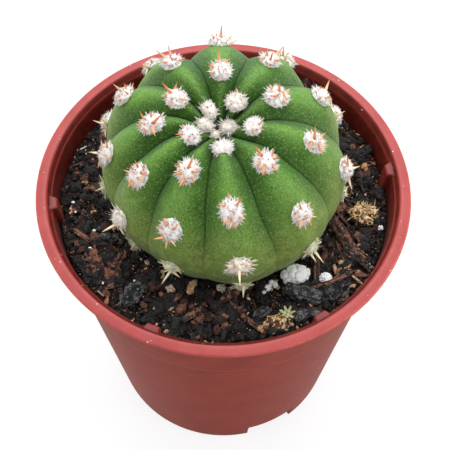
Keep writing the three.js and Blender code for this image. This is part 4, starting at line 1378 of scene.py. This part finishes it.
def wood_shape(length, width, height, seed, ragged=0.5, taper=0.15, curve=0.0, rough=0.5):
    """A fibrous splinter along X: ridges run along it, and its ends are torn."""
    steps, around = 56, 36
    draw = np.random.default_rng(seed)
    turn = np.arange(around) * TAU / around
    fibre = draw.normal(size=around)
    fibre = fibre + np.roll(fibre, 1) * 0.5
    ends = draw.normal(size=(2, around)) * ragged
    t = np.linspace(0, 1, steps + 1)[:, None]
    ring = np.stack([np.zeros(around), np.cos(turn) * 2, np.sin(turn) * 2], axis=1)
    drift = np.stack([field_noise(ring + [9.0 * s, 0, 0], 1.0, seed)
                      for s in t[:, 0] * length / 12])
    ridge = 0.5 + 0.24 * fibre + 0.7 * drift
    narrow = 1 - taper * np.abs(2 * t - 1) ** 3
    narrow = np.where((t == 0) | (t == 1), narrow * 0.25, narrow)
    swell = narrow * (1 + 0.20 * (ridge - 0.5))
    y = width / 2 * swell * np.sign(np.cos(turn)) * np.abs(np.cos(turn)) ** 0.6
    z = height / 2 * swell * np.sign(np.sin(turn)) * np.abs(np.sin(turn)) ** 0.6
    x = length * (t - 0.5) * np.ones(around)
    x = x + np.where(t < 0.5, -ends[0] * (1 - 2 * t) ** 6, ends[1] * (2 * t - 1) ** 6)
    y = y + curve * (1 - (2 * t - 1) ** 2)
    z = z + 0.08 * height * drift
    points = np.stack([x, y, z], axis=2).reshape(-1, 3)
    wear_and_highlight = rough_noise(points, 1.3, 4, seed)[:, None] * rough
    points = points + wear_and_highlight * np.stack([0 * y, y / width, z / height], axis=2).reshape(-1, 3)
    points = np.concatenate([points, [[x[0].mean(), y[0].mean(), z[0].mean()],
                                      [x[-1].mean(), y[-1].mean(), z[-1].mean()]]])
    faces = [grid_faces(steps + 1, around), end_caps(steps + 1, around, len(points))]
    return points, faces, np.append(np.clip(ridge, 0, 1).ravel(), [0.2, 0.2])


def wood(name, node, x0, y0, x1, y1, width, height, seed, ragged=0.5, taper=0.4, curve=0.0,
         rough=0.5, tilt=0.0, roll=0.0, sink=0.15, lift=0.0, burnt=False):
    """A splinter of wood or bark whose ends show at two points of the photograph."""
    start, end = seen_at(x0, y0), seen_at(x1, y1)
    points, faces, ridge = wood_shape(math.dist(start, end), width, height, seed, ragged, taper,
                                      curve, rough)
    heading = math.degrees(math.atan2(end[1] - start[1], end[0] - start[0]))
    points = laid(turned(points, heading, tilt, roll), (start[0] + end[0]) / 2,
                  (start[1] + end[1]) / 2, sink, lift)
    made = make_object(name, points, faces, CHARCOAL if burnt else BARK, fields={"ridge": ridge})
    fix_normals(made)
    sharpen(made)
    piece(made, "charcoal" if burnt else "bark", *([node] if node else []))


def lump(name, place, shape, heading, material, slot, node, sink=0.25):
    """One lump that stands for a node, lying on the soil."""
    points, faces, deep = shape
    points = laid(turned(points, heading), *place, sink)
    piece(make_object(name, points, faces, material, fields={"deep": deep}), slot, node)


def fix_normals(made):
    """Turns the faces of a closed mesh outwards."""
    worked = bmesh.new()
    worked.from_mesh(made.data)
    bmesh.ops.recalc_face_normals(worked, faces=worked.faces)
    worked.to_mesh(made.data)
    worked.free()


def grains(name, material, slot, shape, spots, *nodes, lift=0.3):
    """Many small grains as one piece, each where it shows in the photograph."""
    bundle = Bundle()
    for i, (px, py, *size) in enumerate(spots):
        (points, faces, deep), heading, tilt = shape(i, *size)
        points = laid(turned(points, heading, tilt), *seen_at(px, py), 0.1, lift)
        bundle.add(points, faces, deep=deep)
    piece(bundle.make(name, material), slot, *nodes)


def make_perlite():
    """The white grains: two large ones, a cluster, a single one and many specks."""
    lump("perlite_large_piece", seen_at(295, 277.5), lobed_shape((3.8, 3.1, 2.7), 3.1, 2.0), 12,
         PERLITE, "perlite", "perlite_large", 0.2)
    lump("perlite_small_piece", seen_at(325.5, 280), lobed_shape((1.6, 1.9, 1.6), 8.2, 1.4), 60,
         PERLITE, "perlite", "perlite_small", 0.2)
    grains("perlite_cluster_piece", PERLITE, "perlite",
           lambda i, size: (lobed_shape((size, size * 0.8, size * 0.85), 5.4 + 2.3 * i, 0.5, 3),
                            50 * i, 0),
           ((267, 290, 1.15), (264, 293, 0.75), (275, 286.5, 0.95), (271.5, 284, 0.8),
            (269.5, 287, 0.7), (262.5, 288.5, 0.6)), "perlite_cluster")
    lump("perlite_grain_piece", (44.2, -9.4), lobed_shape((0.95, 0.8, 0.8), 1.7, 0.7, 3), 0,
         PERLITE, "perlite", "perlite_grain")
    grains("perlite_specks", PERLITE, "perlite",
           lambda i, size: (lobed_shape((size, size * 0.8, size * 0.7), 3.7 * i, 0.45, 2),
                            40 * i, 0),
           ((73.4, 203.5, 0.55), (77, 245, 0.6), (81, 247.5, 0.5), (90.2, 250.4, 0.75),
            (72.1, 238.4, 0.35), (94.3, 231.5, 0.5), (75.9, 212.7, 0.4), (102.7, 284, 0.45),
            (134.6, 281.5, 0.35), (172.3, 289.7, 0.3), (167.8, 301.4, 0.45),
            (163.7, 325.4, 0.4), (355, 122, 0.55), (368, 265.5, 0.6), (300.5, 318.5, 0.4),
            (132, 322, 0.35), (63, 190, 0.3), (141, 296, 0.3), (210, 335, 0.35),
            (318, 291.5, 0.4)), lift=0.25)


def make_wood():
    """Bark, twigs and charcoal: node, ends in the photograph, width, height, seed and the rest."""
    wood("charred_bark", "charred_chip", 285.5, 293.5, 321, 300.5, 4.6, 2.6, 2, ragged=0.3,
         taper=0.1, rough=0.4, roll=-12, sink=0.05, lift=0.35, burnt=True)
    wood("bark_strip_piece", "bark_strip", 331, 222, 355, 256, 3.2, 2.4, 11, ragged=0.6,
         taper=0.15, roll=14, lift=0.3)
    wood("bark_sliver_piece", "bark_sliver", 334, 240, 352, 275, 1.2, 1.3, 4, taper=0.5)
    wood("twig_right_piece", "twig_right", 311.6, 291, 354.6, 273, 1.5, 1.3, 5, taper=0.6,
         curve=-0.7, lift=0.8)
    wood("twig_right_branch", None, 330, 283.5, 347, 271.5, 1.1, 0.9, 6, taper=0.5, lift=0.4)
    wood("twig_upright_piece", "twig_upright", 316.5, 261.5, 317, 288, 1.7, 1.5, 9, taper=0.5,
         tilt=-4, lift=0.5)
    wood("twig_front_piece", "twig_front", 229.6, 302.7, 259, 331, 0.85, 0.8, 1, taper=0.6,
         curve=-0.5, lift=0.9)
    wood("twig_front_second", None, 233, 302.5, 261, 328, 0.6, 0.6, 3, taper=0.7, curve=-0.7,
         lift=0.9)
    wood("bark_left_piece", "bark_left", 92, 253, 96.5, 276, 4.0, 2.4, 6, ragged=0.7, rough=1.6,
         roll=10, sink=0.3)
    wood("bark_left_dark", None, 106, 281, 121, 258, 3.6, 2.0, 15, ragged=0.9, taper=0.5,
         rough=2.0, sink=0.35)
    for name, *ends, width, seed in (("left", 124, 306, 140, 289, 4.6, 16),
                                     ("right", 323, 299, 346, 289, 4.2, 17)):
        wood(f"charred_lump_{name}", None, *ends, width, 2.4, seed, ragged=0.8, taper=0.5,
             rough=2.2, sink=0.35, burnt=True)
    for i, (*chip, more) in enumerate((
            (107, 288, 119, 283, 2.2, 1.0, dict(lift=0.3)),
            (170.5, 303, 179.5, 297, 2.2, 1.0, dict(lift=0.4)),
            (75, 232, 89.5, 242.5, 1.7, 1.2, dict(taper=0.3, lift=0.3)),
            (92.5, 187, 101.5, 194, 2.9, 1.6, dict(ragged=0.4, taper=0.5, lift=0.3)),
            (184.5, 320, 199.5, 311, 2.0, 1.0, dict(lift=0.3)),
            (226, 300, 240, 290, 3.0, 1.8, dict(lift=0.2)),
            (345, 252, 366, 262, 3.4, 1.8, dict(ragged=0.7, taper=0.25, roll=20)),
            (355, 234, 366, 246, 2.6, 1.4, dict(ragged=0.6)),
            (339.5, 303, 348, 300.5, 1.6, 0.9, dict(ragged=0.4, lift=0.3)),
            (324, 250, 327, 271, 1.5, 1.1, dict(ragged=0.4)),
            (341, 206, 362, 224, 2.0, 1.4, {}),
            (347, 168, 360, 160, 2.4, 1.6, {}),
            (330, 262, 336, 249, 1.1, 0.9, dict(ragged=0.3, taper=0.5)),
            (297, 322, 307, 313, 3.2, 2.0, dict(burnt=True)),
            (256, 318, 268, 311, 3.0, 2.0, dict(burnt=True)))):
        wood(f"bark_chip_{i + 1}", None, *chip, 21 + i, **more)
    for i, (*stick, lift) in enumerate((
            (355.6, 261, 372.5, 276, 0.55, 0.55, 0.9), (359.5, 258, 371, 269, 0.45, 0.45, 0.9),
            (324.4, 233, 334, 250, 0.9, 0.8, 0.3), (332, 210, 351, 230, 0.6, 0.6, 0.8),
            (351, 300, 370, 277, 0.7, 0.6, 0.3))):
        wood(f"stick_{i + 1}", None, *stick, 41 + i, taper=0.5, lift=lift)
    points, faces, ridge = wood_shape(7.0, 4.4, 1.9, seed=7, ragged=0.6, taper=0.35)
    points = laid(turned(turned(points, 0, 80), 147), 24.6, 37.4, 0.12)
    made = make_object("bark_standing_piece", points, faces, BARK, fields={"ridge": ridge})
    fix_normals(made)
    piece(made, "bark", "bark_standing")


def make_splinters():
    """Thin broken splinters of bark, half of them on the right."""
    draw = np.random.default_rng(77)
    heap = Bundle()
    count = 110
    for i in range(count):
        right = i < count // 2
        px, py = (draw.uniform(318, 392), draw.uniform(150, 290)) if right else (
            draw.uniform(60, 330), draw.uniform(170, 345))
        x, y = seen_at(px, py)
        long = draw.uniform(1.0, 3.2) if right else draw.uniform(0.7, 1.9)
        away = math.hypot(x, y)
        if away < 31 or away + long > 44.5:
            continue
        half = (long, draw.uniform(0.16, 0.42), draw.uniform(0.14, 0.3))
        points, faces, _ = stone_shape(half, i, 0.3, 0.6, 3)
        points = turned(points, draw.uniform(0, 180), draw.uniform(-22, 22), draw.uniform(0, 180))
        points = laid(points, x, y, 0.15, draw.uniform(0.3, 1.1))
        heap.add(points, faces, ridge=draw.uniform(0.1, 0.85))
    piece(heap.make("bark_splinters", BARK), "bark")


def make_moss():
    """A dry clump of moss: tan flakes and tangled fibres over a core painted dark, as shade in the
    gaps between them.
    """
    draw = np.random.default_rng(31)
    x, y = seen_at(364, 216.5)
    clump = Bundle()
    points, faces, _ = stone_shape((3.9, 3.4, 1.5), 3, 0.4, 0.9, 4)
    core = laid(turned(points, 30), x, y, 0.25)
    # Painted shade: the core is dark, for the gaps between the flakes.
    clump.add(core, faces, tint=0.08)
    centre, top = np.array([x, y, core[:, 2].mean()]), core[:, 2].max() - core[:, 2].mean()

    def over_core(count, share):
        spread = unit(draw.normal(size=(count, 3))) * draw.uniform(share, 1.0, (count, 1))
        spread[:, 2] = np.abs(spread[:, 2])
        return spread, centre + spread * [3.9, 3.3, top + 0.2]

    for i, spot in enumerate(over_core(90, 0.85)[1]):
        long = draw.uniform(0.4, 1.1)
        half = (long, long * draw.uniform(0.35, 0.6), 0.16)
        points, faces, _ = stone_shape(half, i, 0.35, 0.5, 2)
        points = turned(points, draw.uniform(0, 360), draw.uniform(-50, 50), draw.uniform(-50, 50))
        clump.add(points + spot, faces, tint=draw.uniform(0.3, 1.0))
    count = 260
    spread, roots = over_core(count, 0.6)
    ways = unit(draw.normal(size=(count, 3)) * [1, 1, 0.6] + spread * 0.3)
    lengths = draw.uniform(0.7, 1.8, count)
    radii = draw.uniform(0.10, 0.22, count)
    bends = draw.normal(size=(count, 3)) * lengths[:, None] * 0.5
    shape, groups, along = tapered(roots, ways, lengths, radii, sides=5, steps=4, bends=bends,
                                   power=0.4)
    tint = draw.uniform(0.2, 1.0, count) ** 0.7
    clump.add(shape, groups, tint=np.repeat(tint, len(along) // count))
    piece(clump.make("moss_piece", MOSS), "moss", "moss_clump")


def make_leaf_litter():
    """Small curled flakes of dry leaf in a loose heap."""
    draw = np.random.default_rng(12)
    heap = Bundle()
    centre = np.array([14.6, -39.6])
    points, faces, _ = stone_shape((3.7, 2.3, 0.8), 12, 0.5, 1.0, 4)
    core = laid(turned(points, 15), *centre, 0.3)
    heap.add(core, faces, tint=0.06)
    for i in range(64):
        half = (draw.uniform(0.45, 1.25), draw.uniform(0.3, 0.6), 0.14)
        points, faces, _ = stone_shape(half, i, 0.25, 0.8, 3)
        points[:, 2] += 0.35 * points[:, 0] ** 2
        points = turned(points, draw.uniform(0, 360), draw.uniform(-55, 55), draw.uniform(-50, 50))
        at, out = draw.uniform(0, TAU), math.sqrt(draw.uniform(0, 1))
        off = turned(np.array([3.9 * out * math.cos(at), 2.5 * out * math.sin(at), 0.0]), 15)
        rise = core[:, 2].max() - 0.2 - 1.0 * out ** 2
        heap.add(points + [*(centre + off[:2]), rise], faces, tint=draw.uniform(0.15, 1.0))
    piece(heap.make("leaf_litter_piece", LEAVES), "straw", "leaf_litter")


def make_litter():
    """All that lies on the soil."""
    make_perlite()
    make_wood()
    make_splinters()
    lump("wood_chip_piece", seen_at(192, 288), stone_shape((2.5, 1.2, 1.0), 4, 0.2), 70, STRAW,
         "straw", "wood_chip")
    make_moss()
    make_leaf_litter()
    lump("pebble_left_piece", seen_at(105.5, 237.5), stone_shape((1.9, 1.05, 0.9), 2, 0.12), 12,
         PEBBLE, "pebble", "pebble_left", 0.1)
    grains("pebbles", PEBBLE, "pebble",
           lambda i, long, wide, heading: (
               stone_shape((long, wide, wide * 0.8), 5 * i, 0.15, level=3), heading, 0),
           ((115.7, 237.5, 1.1, 0.8, 30), (315.5, 315, 1.5, 0.9, 10), (371, 269, 0.8, 0.6, 50),
            (98.4, 229.5, 1.3, 0.8, -30), (121, 244, 0.7, 0.5, 0)))
    grains("straw_bits", STRAW, "straw",
           lambda i, long, wide, high, heading, tilt: (
               stone_shape((long, wide, high), 3 * i, 0.22, 0.7, level=3), heading, tilt),
           ((162, 277.5, 1.7, 0.75, 0.5, 80, 20), (135, 249.5, 1.2, 0.8, 0.6, 20, 0),
            (335, 271, 1.4, 0.5, 0.35, 100, 20), (341, 264, 0.9, 0.8, 0.6, 0, 0),
            (343.5, 270, 1.1, 0.4, 0.3, 30, 10), (349, 267, 1.0, 0.4, 0.3, 60, 20),
            (355, 279.5, 1.9, 0.35, 0.3, -48, 10), (358.5, 282.5, 1.8, 0.3, 0.3, -45, 5),
            (351, 287, 0.7, 0.4, 0.3, 20, 0), (354, 287, 0.6, 0.45, 0.35, 70, 0),
            (346, 274, 1.3, 0.35, 0.3, 50, 15), (357, 273, 0.9, 0.5, 0.4, 10, 0),
            (99, 293, 1.0, 0.22, 0.2, -50, 15), (102, 295.5, 0.9, 0.2, 0.2, -40, 10),
            (262, 328, 1.2, 0.5, 0.3, 30, 10), (271, 333, 1.0, 0.5, 0.3, -20, 0),
            (283, 329, 1.1, 0.5, 0.4, 60, 0), (259, 284, 0.7, 0.5, 0.4, 0, 0),
            (275, 283, 0.8, 0.6, 0.5, 40, 0), (260.5, 291, 0.9, 0.6, 0.7, 10, 0),
            (278, 289, 0.6, 0.5, 0.6, 80, 0), (271, 290.5, 0.7, 0.5, 0.8, 120, 10)), lift=0.35)
    sprout = Bundle()
    place = seen_at(287, 316)
    for i in range(7):
        points, faces, _ = stone_shape((1.3, 0.42, 0.2), 2 * i, 0.1, level=3)
        points = points + [1.2, 0, 0]
        points[:, 2] += 0.18 * points[:, 0]
        sprout.add(laid(turned(points, 51 * i + 10, 18 + 6 * (i % 3)), *place, 0.0, 0.9), faces)
    piece(sprout.make("seedling", SPROUT), "moss")


make_pot()
body = make_body()
make_areoles()
make_crown_tufts()
tree = body_tree(body)
make_soil(tree)
make_crumbs(tree)
make_litter()
